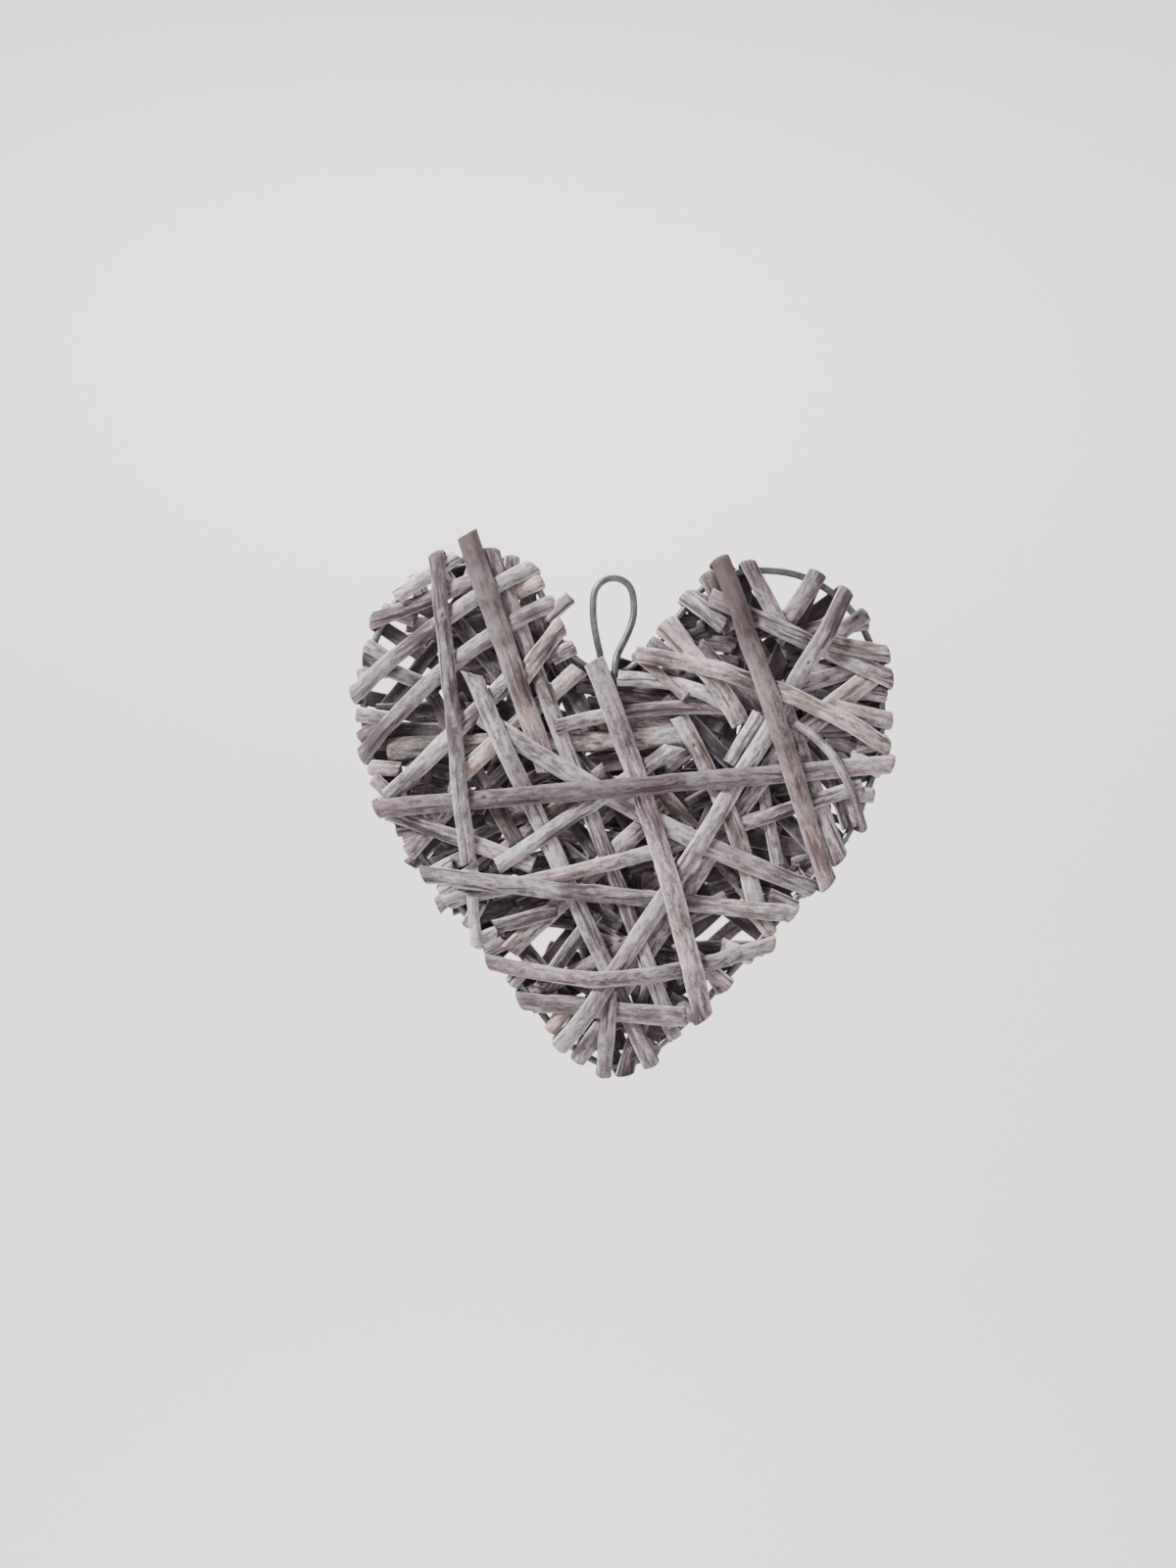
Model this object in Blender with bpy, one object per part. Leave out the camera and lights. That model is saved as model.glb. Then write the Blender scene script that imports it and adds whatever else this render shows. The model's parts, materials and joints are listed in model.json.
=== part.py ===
"""Wicker heart to hang on a wall.

Weathered splits of willow are wound round a heart of thick wire, one over the other, and a second wire
makes the tall eye that goes over a nail. The heart hangs in the XZ plane with its front towards -Y, and the
origin is inside the top of the eye, where the nail bears.

The winding is worked out split by split, from the innermost to the outermost. Two height maps, one for the
front and one for the rear, hold how far the work stands out so far. Each split is laid over the map like a
stiff strip, folded round the wire at its ends, led back across the rear, and then added to the maps.
"""
from math import cos, hypot, pi, radians, sin

import bmesh
import bpy
import numpy as np

# Driving sizes, in metres
HEART_WIDTH = 0.222
HEART_HEIGHT = 0.226
LOOP_DROP = 0.0392            # from the top of the eye down to the wire in the notch
LOOP_WIDTH = 0.0165           # between the centre lines of the eye's two sides
LOOP_TAIL = 0.012             # how far the eye's legs run on below the notch
WIRE_DIAMETER = 0.003
ROD_WIDTH = 0.0100            # the whole rod, a little flattened
ROD_DEPTH = 0.0052
SPLIT_WIDTH = 0.0078          # a middling split
SPLIT_THICKNESS = 0.0019
WAIST = 0.97                  # no split is even: its share of the width at every other station
CLEARANCE = 0.0003            # air kept between pieces that touch
SIDE_CLEARANCE = 0.0002       # the same, beside a piece
FOLD_CHAMFER = 0.0010         # outer edge of a fold round the wire
FOLD_RELIEF = 0.0004          # inner edge of a fold
LARGEST_PUSH = 0.0090         # how far a fold may stand off the wire, over folds made before it
REAR_REACH = 0.140            # longest run across the rear
REAR_END_GAP = 0.007          # a rear end stops this short of the wire
SHORTEST_TAIL = 1.5           # shortest run across the rear, in widths of its split

# How stiff the splits are, and how finely they are followed
STEEPEST_SLOPE = 0.42
STRAIGHTNESS = 0.0005         # dips smaller than this are bridged
STATION_GAP = 0.0045          # least distance between two stations
MOST_STATIONS = 12
LARGEST_SKEW = radians(28)
SQUARE_GAP = 0.0008           # beside a fold, before the next station
LONGEST_PIECE = 0.06          # between two stations of a straight split
LONGEST_ON_BEND = 0.022       # the same, of a split that curves in plan
WIRE_SEARCH = 0.025           # how far beyond its traced end a split may meet the wire
CURVE_POINTS = 160            # along the centre line of a run
PROFILE_STEP = 0.0008         # along the profile in which the stations are chosen

# The maps' cells, and the steps at which a strip is compared with them
CELL = 0.0003
MAP_MARGIN = 0.030
STEP = 0.0003
EMPTY = -1.0                  # level of a cell with nothing over it
SETTLE_ROUNDS = 300
LEVEL_TOLERANCE = 1e-6

WIRE_RADIUS = WIRE_DIAMETER / 2
BASE_LEVEL = WIRE_RADIUS + CLEARANCE
NOTCH = (49.4, 26.4)          # share of the width from the left, share of the height from the top
LOOP_FOOT = (48.3, 26.4)      # where the eye stands on the wire, a little left of the notch

# The heart wire's centre line, in the same shares, clockwise from the notch
HEART_LINE = (
    NOTCH, (53.5, 23.2), (57.7, 19.3), (60.5, 15.4), (62.9, 11.9), (67.0, 8.7), (72.8, 7.1), (79.6, 7.3),
    (85.0, 8.7), (91.9, 13.7), (95.5, 19.3), (97.7, 27.3), (98.2, 33.5), (97.7, 39.7), (96.2, 45.4),
    (93.7, 51.6), (90.1, 58.0), (84.1, 64.7), (75.1, 75.2), (68.8, 81.9), (63.8, 87.8), (58.6, 92.4),
    (54.4, 96.3), (48.6, 98.3), (42.9, 95.9), (37.8, 91.7), (32.8, 84.9), (27.7, 78.7), (22.0, 71.1),
    (17.5, 65.4), (13.0, 59.6), (9.0, 54.4), (6.3, 49.8), (4.3, 44.1), (2.5, 37.9), (2.0, 31.7),
    (2.5, 25.0), (4.5, 19.0), (7.9, 12.9), (13.0, 8.3), (19.3, 5.3), (25.6, 4.8), (31.0, 6.2),
    (34.1, 9.2), (36.0, 13.7), (37.5, 18.6), (40.4, 22.7), (44.7, 25.5),
)
HEART_POINTS = 64

# The eye's legs as they close on the notch: share of the drop, then shares of half the width to the right
# leg and to the left leg, and the share of the way out of the heart's plane
LEG_COURSE = (
    (0.38, 1.00, -1.00, 0.00), (0.587, 0.63, -0.85, 0.15), (0.765, 0.20, -0.65, 0.75),
    (0.88, 0.08, -0.55, 1.00), (1.00, 0.06, -0.51, 1.00),
)
ARCH_POINTS = 9
LOOP_POINTS = 34

COLOURS = {
    "grey": (0.36, 0.33, 0.31), "violet": (0.33, 0.29, 0.30), "white": (0.52, 0.50, 0.47),
    "brown": (0.30, 0.25, 0.21), "tan": (0.42, 0.36, 0.30), "dark": (0.17, 0.15, 0.14),
}
WIRE_COLOUR = (0.30, 0.30, 0.31)
WIRE_ROUGHNESS = 0.45
WOOD_ROUGHNESS = 0.8

SPLITS = []


def split(name, start, end, via=None, width=1.0, folds="both", side="front", colour="grey"):
    """Note one split, in the order in which they are wound.

    start, via and end are shares of the heart's width and height from its top left corner, and width is a
    share of SPLIT_WIDTH. folds says which ends go round the wire: both, start, end or none.
    """
    SPLITS.append((name, start, via, end, width, folds, side, colour))


# The innermost, seen only through the gaps
split("rear_tuck_left", (3.5, 34.5), (15.7, 20.2), width=0.7, folds="none", side="rear", colour="dark")
split("rear_tuck_low_left", (14.5, 58.6), (33.7, 50.9), width=0.7, folds="none", side="rear", colour="dark")
split("left_shoulder_tuck", (1.6, 22.9), (16.6, 29.1), width=0.85, folds="none", colour="dark")
split("left_shoulder", (1.8, 17.2), (22.9, 9.0), width=0.9, folds="start", colour="violet")
split("top_left_edge", (8.4, 12.4), (19.9, 4.4), width=0.85, folds="none", colour="white")
split("point_tuck", (50.1, 100.0), (56.6, 78.7), folds="start", colour="dark")
split("low_rise", (28.6, 76.6), (58.0, 49.5), width=1.05, folds="none", colour="brown")
split("low_left_tuck", (26.0, 72.0), (38.2, 68.6), width=0.8, folds="none", colour="dark")
split("low_left_rise", (34.6, 83.4), (45.4, 69.0), width=0.8, folds="none", colour="dark")
split("low_right_tuck", (70.5, 83.5), (60.0, 74.5), width=0.9, folds="start", colour="violet")
split("right_top_slant", (85.8, 8.0), (77.8, 20.2), width=1.05, folds="start", colour="grey")
split("right_top_drop", (73.2, 6.4), (80.5, 20.2), width=0.9, folds="start", colour="violet")
split("right_shoulder_tuck", (94.4, 15.4), (86.8, 20.2), width=0.95, folds="start", colour="grey")
split("right_inner_drop", (66.1, 9.0), (70.2, 18.5), width=1.15, folds="start", colour="brown")
split("right_inner_edge", (60.2, 11.0), (68.8, 17.6), width=0.95, folds="start", colour="white")
split("right_slip", (94.0, 24.8), (80.2, 28.7), width=0.9, folds="none", colour="violet")
split("right_rise", (96.0, 25.9), (81.1, 37.8), width=1.25, folds="none", colour="tan")
split("right_side", (88.6, 32.1), (99.5, 34.4), folds="end", colour="tan")
split("right_low_slip", (87.7, 41.5), (91.7, 54.0), width=0.7, folds="none", colour="dark")
split("right_drop", (77.8, 27.3), (89.9, 58.7), folds="end", colour="violet")
split("short_upright", (75.7, 45.6), (78.9, 61.0), width=0.7, folds="none", colour="violet")
split("right_long_fall", (79.6, 38.8), (41.4, 97.0), width=0.9, folds="end", colour="violet")
split("right_cross_end", (55.3, 58.3), (94.6, 46.0), width=0.85, folds="none", colour="grey")
split("knotted_fall", (60.2, 33.2), (75.2, 71.0), via=(70.6, 54.0), folds="none", colour="tan")

# The middle of the winding
split("low_left_slant", (10.5, 58.2), (21.6, 45.9), width=1.05, folds="start", colour="violet")
split("left_stub", (3.6, 44.5), (9.5, 50.0), width=0.8, folds="none", colour="violet")
split("left_low_cross", (6.6, 50.9), (33.7, 60.8), width=0.9, folds="none", colour="grey")
split("left_rise", (6.4, 48.6), (29.2, 26.8), folds="none", colour="grey")
split("notch_fall", (42.5, 24.6), (19.5, 44.7), folds="none", colour="tan")
split("long_left_fall", (26.5, 5.5), (59.2, 90.5), width=0.9, folds="start", colour="grey")
split("middle_cross", (37.3, 35.6), (69.7, 32.1), via=(53.5, 32.4), width=0.8, folds="none", colour="violet")
split("notch_cross", (48.6, 26.8), (69.7, 32.1), via=(60.2, 27.8), width=0.8, folds="none", colour="white")
split("notch_slip", (52.6, 22.5), (61.6, 30.3), width=0.6, folds="start", colour="brown")
split("right_lobe_fall", (58.7, 18.4), (71.9, 35.3), via=(65.9, 26.4), width=1.1, folds="start", colour="tan")
split("pale_stub", (75.3, 33.2), (69.9, 42.4), folds="none", colour="white")
split("right_top_cross", (65.6, 12.1), (98.6, 26.8), folds="end", colour="grey")
split("right_shoulder", (86.8, 20.2), (98.2, 22.7), width=0.95, folds="end", colour="tan")
split("top_left_rise", (0.4, 29.8), (34.8, 6.0), via=(16.9, 16.3), width=0.9, colour="grey")
split("left_long_rise", (1.1, 41.7), (37.5, 12.8), via=(18.0, 24.6), width=0.95, colour="grey")
split("notch_slant", (31.0, 27.4), (38.8, 16.9), folds="end", colour="tan")
split("proud_upright", (21.3, 0.4), (36.4, 44.1), width=1.2, folds="none", colour="tan")
split("middle_fall", (23.4, 33.2), (84.1, 64.5), via=(53.0, 50.9), width=1.05, folds="end", colour="grey")
split("long_centre_fall", (21.6, 24.6), (55.5, 97.5), folds="end", colour="grey")
split("centre_rise", (26.5, 61.0), (61.0, 38.2), width=0.9, folds="none", colour="white")
split("low_cross_rise", (16.4, 67.4), (58.0, 57.6), width=0.85, folds="start", colour="grey")
split("left_tip", (22.2, 65.8), (22.9, 75.0), width=0.65, folds="end", colour="white")

# The outermost
split("low_cross", (13.9, 62.4), (82.3, 69.5), colour="grey")
split("point_cross", (30.1, 85.3), (62.2, 88.1), width=1.1, folds="start", colour="violet")
split("point_upright", (47.6, 82.3), (46.5, 99.5), width=0.9, folds="end", colour="grey")
split("long_right_fall", (90.8, 11.0), (38.6, 93.4), via=(65.9, 53.5), colour="grey")
split("right_bow", (52.3, 22.5), (98.2, 38.8), via=(76.0, 28.2), width=0.95, folds="end", colour="tan")
split("low_bow", (24.7, 78.2), (77.5, 75.2), via=(50.8, 80.5), width=0.9, colour="violet")
split("broad_upright", (44.5, 23.2), (65.2, 89.9), via=(56.6, 56.9), width=1.15, folds="end", colour="violet")
split("long_cross", (4.9, 50.2), (97.1, 42.4), width=1.05, colour="violet")
split("right_curl", (80.5, 34.4), (94.4, 53.9), via=(89.2, 41.7), width=0.75, folds="end", colour="white")
split("right_upright", (68.5, 7.4), (87.9, 64.0), width=1.1, colour="tan")
split("left_upright", (15.9, 5.5), (21.6, 60.8), width=0.9, folds="start", colour="grey")

# The rod inside the wire
ROD_START = (6.4, 39.4)
ROD_END = (62.0, 37.2)
ROD_SIDES = 8
ROD_STATIONS = (0, 0.015, 0.33, 0.66, 0.985, 1)
ROD_TAPER = 0.18
ROD_END_SIZE = 0.72

# The splits' runs across the rear, as shares of the way to the far wire, taken in turn
REAR_SHARES = (0.95, 0.76, 0.88, 0.97, 0.68, 0.91)


def place(share):
    """Plan position, X and Z, of a point given in shares from the heart's top left corner."""
    left = -HEART_WIDTH * LOOP_FOOT[0] / 100
    top = -LOOP_DROP + HEART_HEIGHT * LOOP_FOOT[1] / 100
    return np.array((left + HEART_WIDTH * share[0] / 100, top - HEART_HEIGHT * share[1] / 100))


def smooth_line(points, count, closed):
    """A smooth curve through points in the plane or in space, at even distances."""
    points = np.array(points)
    if closed:
        padded = np.concatenate((points[-1:], points, points[:2]))
    else:
        padded = np.concatenate((2 * points[:1] - points[1:2], points, 2 * points[-1:] - points[-2:-1]))
    fine = []
    for before, start, end, after in zip(padded, padded[1:], padded[2:], padded[3:]):
        for t in np.linspace(0, 1, 24, endpoint=False):
            fine.append(0.5 * (2 * start + (end - before) * t
                               + (2 * before - 5 * start + 4 * end - after) * t ** 2
                               + (3 * start - before - 3 * end + after) * t ** 3))
    fine = np.array(fine + [fine[0] if closed else points[-1]])
    run = distances(fine)
    at = np.linspace(0, run[-1], count, endpoint=not closed)
    return np.column_stack([np.interp(at, run, column) for column in fine.T])


def distances(points):
    """Distance along a line at each of its points."""
    return np.concatenate(([0], np.cumsum(np.linalg.norm(np.diff(points, axis=0), axis=1))))


HEART = smooth_line([place(share) for share in HEART_LINE], HEART_POINTS, closed=True)


def inside_heart(points):
    """For each plan point, whether it lies inside the wire's centre line."""
    points = np.atleast_2d(points)
    x, z = points[:, 0], points[:, 1]
    inside = np.zeros(len(points), dtype=bool)
    for (x1, z1), (x2, z2) in zip(HEART, np.roll(HEART, -1, axis=0)):
        crosses = (z1 > z) != (z2 > z)
        at = x1 + (z - z1) * (x2 - x1) / (z2 - z1 + (z2 == z1) * 1e-12)
        inside ^= crosses & (x < at)
    return inside


class Maps:
    """How far the work stands out from the wire's plane, towards the front and towards the rear."""

    def __init__(self):
        low = HEART.min(axis=0) - MAP_MARGIN
        high = HEART.max(axis=0) + MAP_MARGIN
        self.low = low
        self.shape = tuple(np.ceil((high - low) / CELL).astype(int) + 1)
        self.levels = {side: np.full(self.shape, EMPTY) for side in ("front", "rear")}

    def cells(self, points):
        index = np.rint((points - self.low) / CELL).astype(int)
        return tuple(np.clip(index[..., axis], 0, self.shape[axis] - 1) for axis in (0, 1))

    def read(self, side, points):
        return self.levels[side][self.cells(points)]

    def free(self, points):
        cells = self.cells(points)
        return all((level[cells] == EMPTY).all() for level in self.levels.values())

    def add(self, side, points, level):
        np.maximum.at(self.levels[side], self.cells(points), np.broadcast_to(level, points.shape[:-1]))


def band_points(left, right, along):
    """Points all over the band between two edges, at the given shares of one segment's length."""
    span = hypot(*(left[0] - right[0])) + 2 * SIDE_CLEARANCE
    count = max(3, int(span / STEP) + 2)
    reach = SIDE_CLEARANCE / max(span - 2 * SIDE_CLEARANCE, STEP)
    across = np.linspace(-reach, 1 + reach, count)[None, :, None]
    along = np.asarray(along)[:, None, None]
    left_edge = left[0] * (1 - along) + left[1] * along
    right_edge = right[0] * (1 - along) + right[1] * along
    return left_edge * (1 - across) + right_edge * across


def shares_along(left, right):
    """Even shares along one segment of a band, no more than a step apart."""
    length = max(hypot(*(left[1] - left[0])), hypot(*(right[1] - right[0])))
    return np.linspace(0, 1, max(3, int(length / STEP) + 2))


def settle(maps, side, left, right, spacing, level_pieces):
    """Level of a band's inner face at each station, clear of the map and no steeper than the wood bends.

    level_pieces are the pieces, each named by its first station, that must lie flat.
    """
    level = np.full(len(left), BASE_LEVEL)
    needs = []
    for i in range(len(left) - 1):
        along = shares_along(left[i:i + 2], right[i:i + 2])
        below = maps.read(side, band_points(left[i:i + 2], right[i:i + 2], along)).max(axis=1)
        needs.append((along, below + CLEARANCE))
    for _ in range(SETTLE_ROUNDS):
        settled = True
        for i, (along, need) in enumerate(needs):
            short = need - ((1 - along) * level[i] + along * level[i + 1])
            worst = int(short.argmax())
            if short[worst] > LEVEL_TOLERANCE:
                near, far = 1 - along[worst], along[worst]
                lift = short[worst] / (near ** 2 + far ** 2)
                level[i] += near * lift
                level[i + 1] += far * lift
                settled = False
        for i in level_pieces:
            level[i] = level[i + 1] = max(level[i], level[i + 1])
        if settled:
            break
    for order in (range(1, len(level)), range(len(level) - 2, -1, -1)):
        for i in order:
            other = i - 1 if order.step > 0 else i + 1
            drop = STEEPEST_SLOPE * abs(spacing[i] - spacing[other])
            level[i] = max(level[i], level[other] - drop)
    for i in level_pieces:
        level[i] = level[i + 1] = max(level[i], level[i + 1])
    return level


def choose_stations(profile, run, longest):
    """Places along a run where its straight pieces meet: the peaks and dips that matter most."""
    envelope = profile.copy()
    step = run[1] - run[0]
    for order in (range(1, len(run)), range(len(run) - 2, -1, -1)):
        for i in order:
            other = i - 1 if order.step > 0 else i + 1
            envelope[i] = max(envelope[i], envelope[other] - STEEPEST_SLOPE * step)
    guard = max(1, int(STATION_GAP / step))
    chosen = [0, len(run) - 1]
    while len(chosen) < MOST_STATIONS + 2:
        chord = np.interp(run, run[chosen], envelope[chosen])
        off = np.abs(envelope - chord)
        for index in chosen:
            off[max(0, index - guard):index + guard + 1] = 0
        worst = int(off.argmax())
        if off[worst] < STRAIGHTNESS:
            break
        chosen = sorted(chosen + [worst])
    widened = [0]
    for index in chosen[1:]:
        parts = int((run[index] - run[widened[-1]]) / longest) + 1
        start = widened[-1]
        widened += [start + (index - start) * k // parts for k in range(1, parts + 1)]
    return widened


def perpendicular(direction):
    return np.array((-direction[1], direction[0]))


def unit(vector):
    return vector / hypot(*vector)


def run_curve(start, via, end):
    """A split's centre line in plan, from start to end: straight, or bowed through via."""
    t = np.linspace(0, 1, CURVE_POINTS)[:, None]
    pull = (start + end) / 2 if via is None else 2 * via - (start + end) / 2
    return start * (1 - t) ** 2 + 2 * pull * t * (1 - t) + end * t ** 2


def wire_crossing(points, direction):
    """Where the line that leaves the last point outwards meets the wire, coming from inside."""
    reach = np.concatenate((points, points[-1] + direction * np.arange(STEP, WIRE_SEARCH, STEP)[:, None]))
    middle = len(points) // 2
    inside = inside_heart(reach)
    for i in range(middle, len(reach)):
        if not inside[i]:
            return reach[i]
    return None


def wire_direction(point):
    """The wire's direction at the point of it that is nearest."""
    nearest = int(np.hypot(*(HEART - point).T).argmin())
    return unit(HEART[(nearest + 1) % HEART_POINTS] - HEART[nearest - 1])


def make_fold(maps, crossing, outward, width):
    """A fold round the wire, as close to it as the folds made before allow, or None where it has no room."""
    along_wire = wire_direction(crossing)
    normal = perpendicular(along_wire)
    if normal @ outward < 0:
        normal = -normal
    skew = np.arctan2(outward[0] * normal[1] - outward[1] * normal[0], outward @ normal)
    kept = float(np.clip(skew, -LARGEST_SKEW, LARGEST_SKEW))
    normal = np.array((outward[0] * cos(kept) - outward[1] * sin(kept),
                       outward[0] * sin(kept) + outward[1] * cos(kept)))
    crease = perpendicular(normal)
    half = width / 2 / cos(kept)
    push = BASE_LEVEL
    while push < BASE_LEVEL + LARGEST_PUSH:
        inner = crossing + outward * (push / cos(kept))
        outer = inner + normal * SPLIT_THICKNESS
        clear = normal * CLEARANCE
        left = np.array((inner - clear + crease * half, outer + clear + crease * half))
        right = np.array((inner - clear - crease * half, outer + clear - crease * half))
        if maps.free(band_points(left, right, shares_along(left, right))):
            back = outward - 2 * (outward @ normal) * normal
            return {"inner": inner, "outer": outer, "crease": crease, "half": half, "skew": kept,
                    "outward": outward, "back": back}
        push += STEP
    return None


def rear_run(fold, width, share):
    """Fine centre line of the run that a fold leads back across the rear, or None where it is too short."""
    start, direction = fold["inner"], fold["back"]
    reach = start + direction * np.arange(0, HEART_HEIGHT * 1.5, STEP)[:, None]
    inside = inside_heart(reach)
    entered = int(inside.argmax())
    if not inside[entered]:
        return None
    leaves = entered + int((~inside[entered:]).argmax())
    length = min(REAR_REACH, leaves * STEP * share, leaves * STEP - REAR_END_GAP)
    if length < width * SHORTEST_TAIL:
        return None
    return start + direction * np.linspace(0, length, CURVE_POINTS)[:, None]


def edges(points, width, first_fold, last_fold):
    """Edge points of a strip at its stations, with oblique ends where it meets a fold."""
    directions = np.gradient(points, axis=0)
    directions /= np.hypot(*directions.T)[:, None]
    across = np.column_stack((-directions[:, 1], directions[:, 0])) * width / 2
    for index, fold in ((0, first_fold), (-1, last_fold)):
        if fold:
            crease = fold["crease"] * fold["half"]
            across[index] = crease if crease @ across[index] > 0 else -crease
    return points + across, points - across


def square_from(fold):
    """How far from a fold the strip is square again: its oblique end lies flat up to there."""
    return fold["half"] * abs(sin(fold["skew"])) + SQUARE_GAP


def lay_run(maps, side, fine, width, first_fold=None, last_fold=None, longest=LONGEST_PIECE):
    """Lay one run over the map: its stations' edges and the level of its inner face at each."""
    run = distances(fine)
    even = np.linspace(0, run[-1], max(12, int(run[-1] / PROFILE_STEP)))
    fine = np.column_stack([np.interp(even, run, fine[:, axis]) for axis in (0, 1)])
    left, right = edges(fine, width, None, None)
    below = maps.read(side, band_points_each(left, right)).max(axis=1)
    profile = np.maximum(below + CLEARANCE, BASE_LEVEL)
    chosen = choose_stations(profile, even, longest)
    level_pieces = []
    if first_fold:
        chosen.insert(1, int(np.searchsorted(even, square_from(first_fold))))
        level_pieces.append(0)
    if last_fold:
        chosen.insert(-1, int(np.searchsorted(even, run[-1] - square_from(last_fold))))
        level_pieces.append(len(chosen) - 2)
    points = fine[chosen]
    left, right = edges(points, width, first_fold, last_fold)
    for i in range(1, len(points) - 1, 2):
        left[i] = points[i] + (left[i] - points[i]) * WAIST
        right[i] = points[i] + (right[i] - points[i]) * WAIST
    level = settle(maps, side, left, right, even[chosen], level_pieces)
    for i in range(len(points) - 1):
        along = shares_along(left[i:i + 2], right[i:i + 2])
        heights = (1 - along) * level[i] + along * level[i + 1] + SPLIT_THICKNESS
        maps.add(side, band_points(left[i:i + 2], right[i:i + 2], along), heights[:, None])
    return left, right, level


def band_points_each(left, right):
    """Points across a strip at each of its fine stations."""
    span = hypot(*(left[0] - right[0]))
    across = np.linspace(0, 1, max(3, int(span / STEP) + 2))[None, :, None]
    return left[:, None] * (1 - across) + right[:, None] * across


def ring(left, right, inner, outer, sign, shift_inner=0.0, shift_outer=0.0):
    """One cross section: four corners in space. sign is -1 in front of the wire and +1 behind it."""
    return (
        (*(left + shift_inner), sign * inner), (*(right + shift_inner), sign * inner),
        (*(right + shift_outer), sign * outer), (*(left + shift_outer), sign * outer),
    )


def run_rings(laid, sign):
    left, right, level = laid
    return [ring(a, b, low, low + SPLIT_THICKNESS, sign) for a, b, low in zip(left, right, level)]


def fold_rings(fold, left, right, front, rear):
    """The four cross sections that take a strip round the wire, from the front to the rear.

    left and right are the strip's edges at the fold, front and rear the levels of its inner face there.
    """
    slant = cos(fold["skew"])
    outward, back = fold["outward"] / slant, fold["back"] / slant
    out = fold["outer"] - fold["inner"]
    front_top, rear_top = front + SPLIT_THICKNESS, rear + SPLIT_THICKNESS
    return [
        ring(left, right, front, front_top, -1, -outward * FOLD_RELIEF, out - outward * FOLD_CHAMFER),
        ring(left, right, front - FOLD_RELIEF, front_top - FOLD_CHAMFER, -1, 0, out),
        ring(left, right, rear - FOLD_RELIEF, rear_top - FOLD_CHAMFER, 1, 0, out),
        ring(left, right, rear, rear_top, 1, back * FOLD_RELIEF, out + back * FOLD_CHAMFER),
    ]


def mark_fold(maps, fold, front, rear):
    """Add a fold's wall to both maps, so that later folds keep off it and later runs pass over it."""
    crease = fold["crease"] * fold["half"]
    left = np.array((fold["inner"] + crease, fold["outer"] + crease))
    right = np.array((fold["inner"] - crease, fold["outer"] - crease))
    points = band_points(left, right, shares_along(left, right))
    maps.add("front", points, front + SPLIT_THICKNESS)
    maps.add("rear", points, rear + SPLIT_THICKNESS)


def wind_split(maps, start, via, end, width, folds, side, share):
    """Lay one split and give its cross sections in order from end to end."""
    fine = run_curve(start, via, end)
    ends = {}
    for where, line in (("start", fine[::-1]), ("end", fine)):
        if folds not in ("both", where):
            continue
        outward = unit(line[-1] - line[-2])
        crossing = wire_crossing(line, outward)
        fold = make_fold(maps, crossing, outward, width) if crossing is not None else None
        if fold:
            ends[where] = fold
    first, last = ends.get("start"), ends.get("end")
    for fold, at_start in ((first, True), (last, False)):
        if not fold:
            continue
        fine = fine[(fine - fold["inner"]) @ fold["outward"] < -FOLD_RELIEF]
        if at_start:
            fine = np.concatenate((bridge(fold["inner"], fine[0])[:-1], fine))
        else:
            fine = np.concatenate((fine, bridge(fine[-1], fold["inner"])[1:]))
    longest = LONGEST_PIECE if via is None else LONGEST_ON_BEND
    laid = lay_run(maps, side, fine, width, first, last, longest)
    sign = -1 if side == "front" else 1
    rings = run_rings(laid, sign)
    for fold, at_start in ((first, True), (last, False)):
        if not fold:
            continue
        index = 0 if at_start else -1
        left, right, front = laid[0][index], laid[1][index], laid[2][index]
        tail = rear_run(fold, width, share)
        if tail is None:
            tail = bridge(fold["inner"], fold["inner"] + fold["back"] * width * SHORTEST_TAIL)
        laid_tail = lay_run(maps, "rear", tail, width, fold)
        rear = laid_tail[2][0]
        mark_fold(maps, fold, front, rear)
        tail_rings = run_rings(laid_tail, 1)[1:]
        around = fold_rings(fold, left, right, front, rear)
        if (laid_tail[0][0] - laid_tail[1][0]) @ (left - right) < 0:
            tail_rings = [(b, a, d, c) for a, b, c, d in tail_rings]
        if at_start:
            rings = list(reversed(tail_rings)) + list(reversed(around)) + rings[1:]
        else:
            rings = rings[:-1] + around + tail_rings
    return rings


def bridge(start, end):
    """Fine points along the straight line between two plan points."""
    return start + (end - start) * np.linspace(0, 1, CURVE_POINTS // 4)[:, None]


def principled(name, colour, metallic, roughness):
    material = bpy.data.materials.new(name)
    material.use_nodes = True
    shader = material.node_tree.nodes["Principled BSDF"]
    shader.inputs["Base Color"].default_value = (*colour, 1)
    shader.inputs["Metallic"].default_value = metallic
    shader.inputs["Roughness"].default_value = roughness
    return material


def add_object(name, data, material):
    item = bpy.data.objects.new(name, data)
    item.data.materials.append(material)
    bpy.context.collection.objects.link(item)
    return item


def loft(name, rings, material):
    """A closed solid through cross sections, whose corners are given as X, Z and Y."""
    work = bmesh.new()
    loops = [[work.verts.new((x, y, z)) for x, z, y in section] for section in rings]
    sides = len(loops[0])
    for near, far in zip(loops, loops[1:]):
        for i in range(sides):
            j = (i + 1) % sides
            work.faces.new((near[i], near[j], far[j], far[i]))
    work.faces.new(loops[0])
    work.faces.new(loops[-1])
    bmesh.ops.recalc_face_normals(work, faces=work.faces)
    mesh = bpy.data.meshes.new(name)
    work.to_mesh(mesh)
    work.free()
    return add_object(name, mesh, material)


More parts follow.
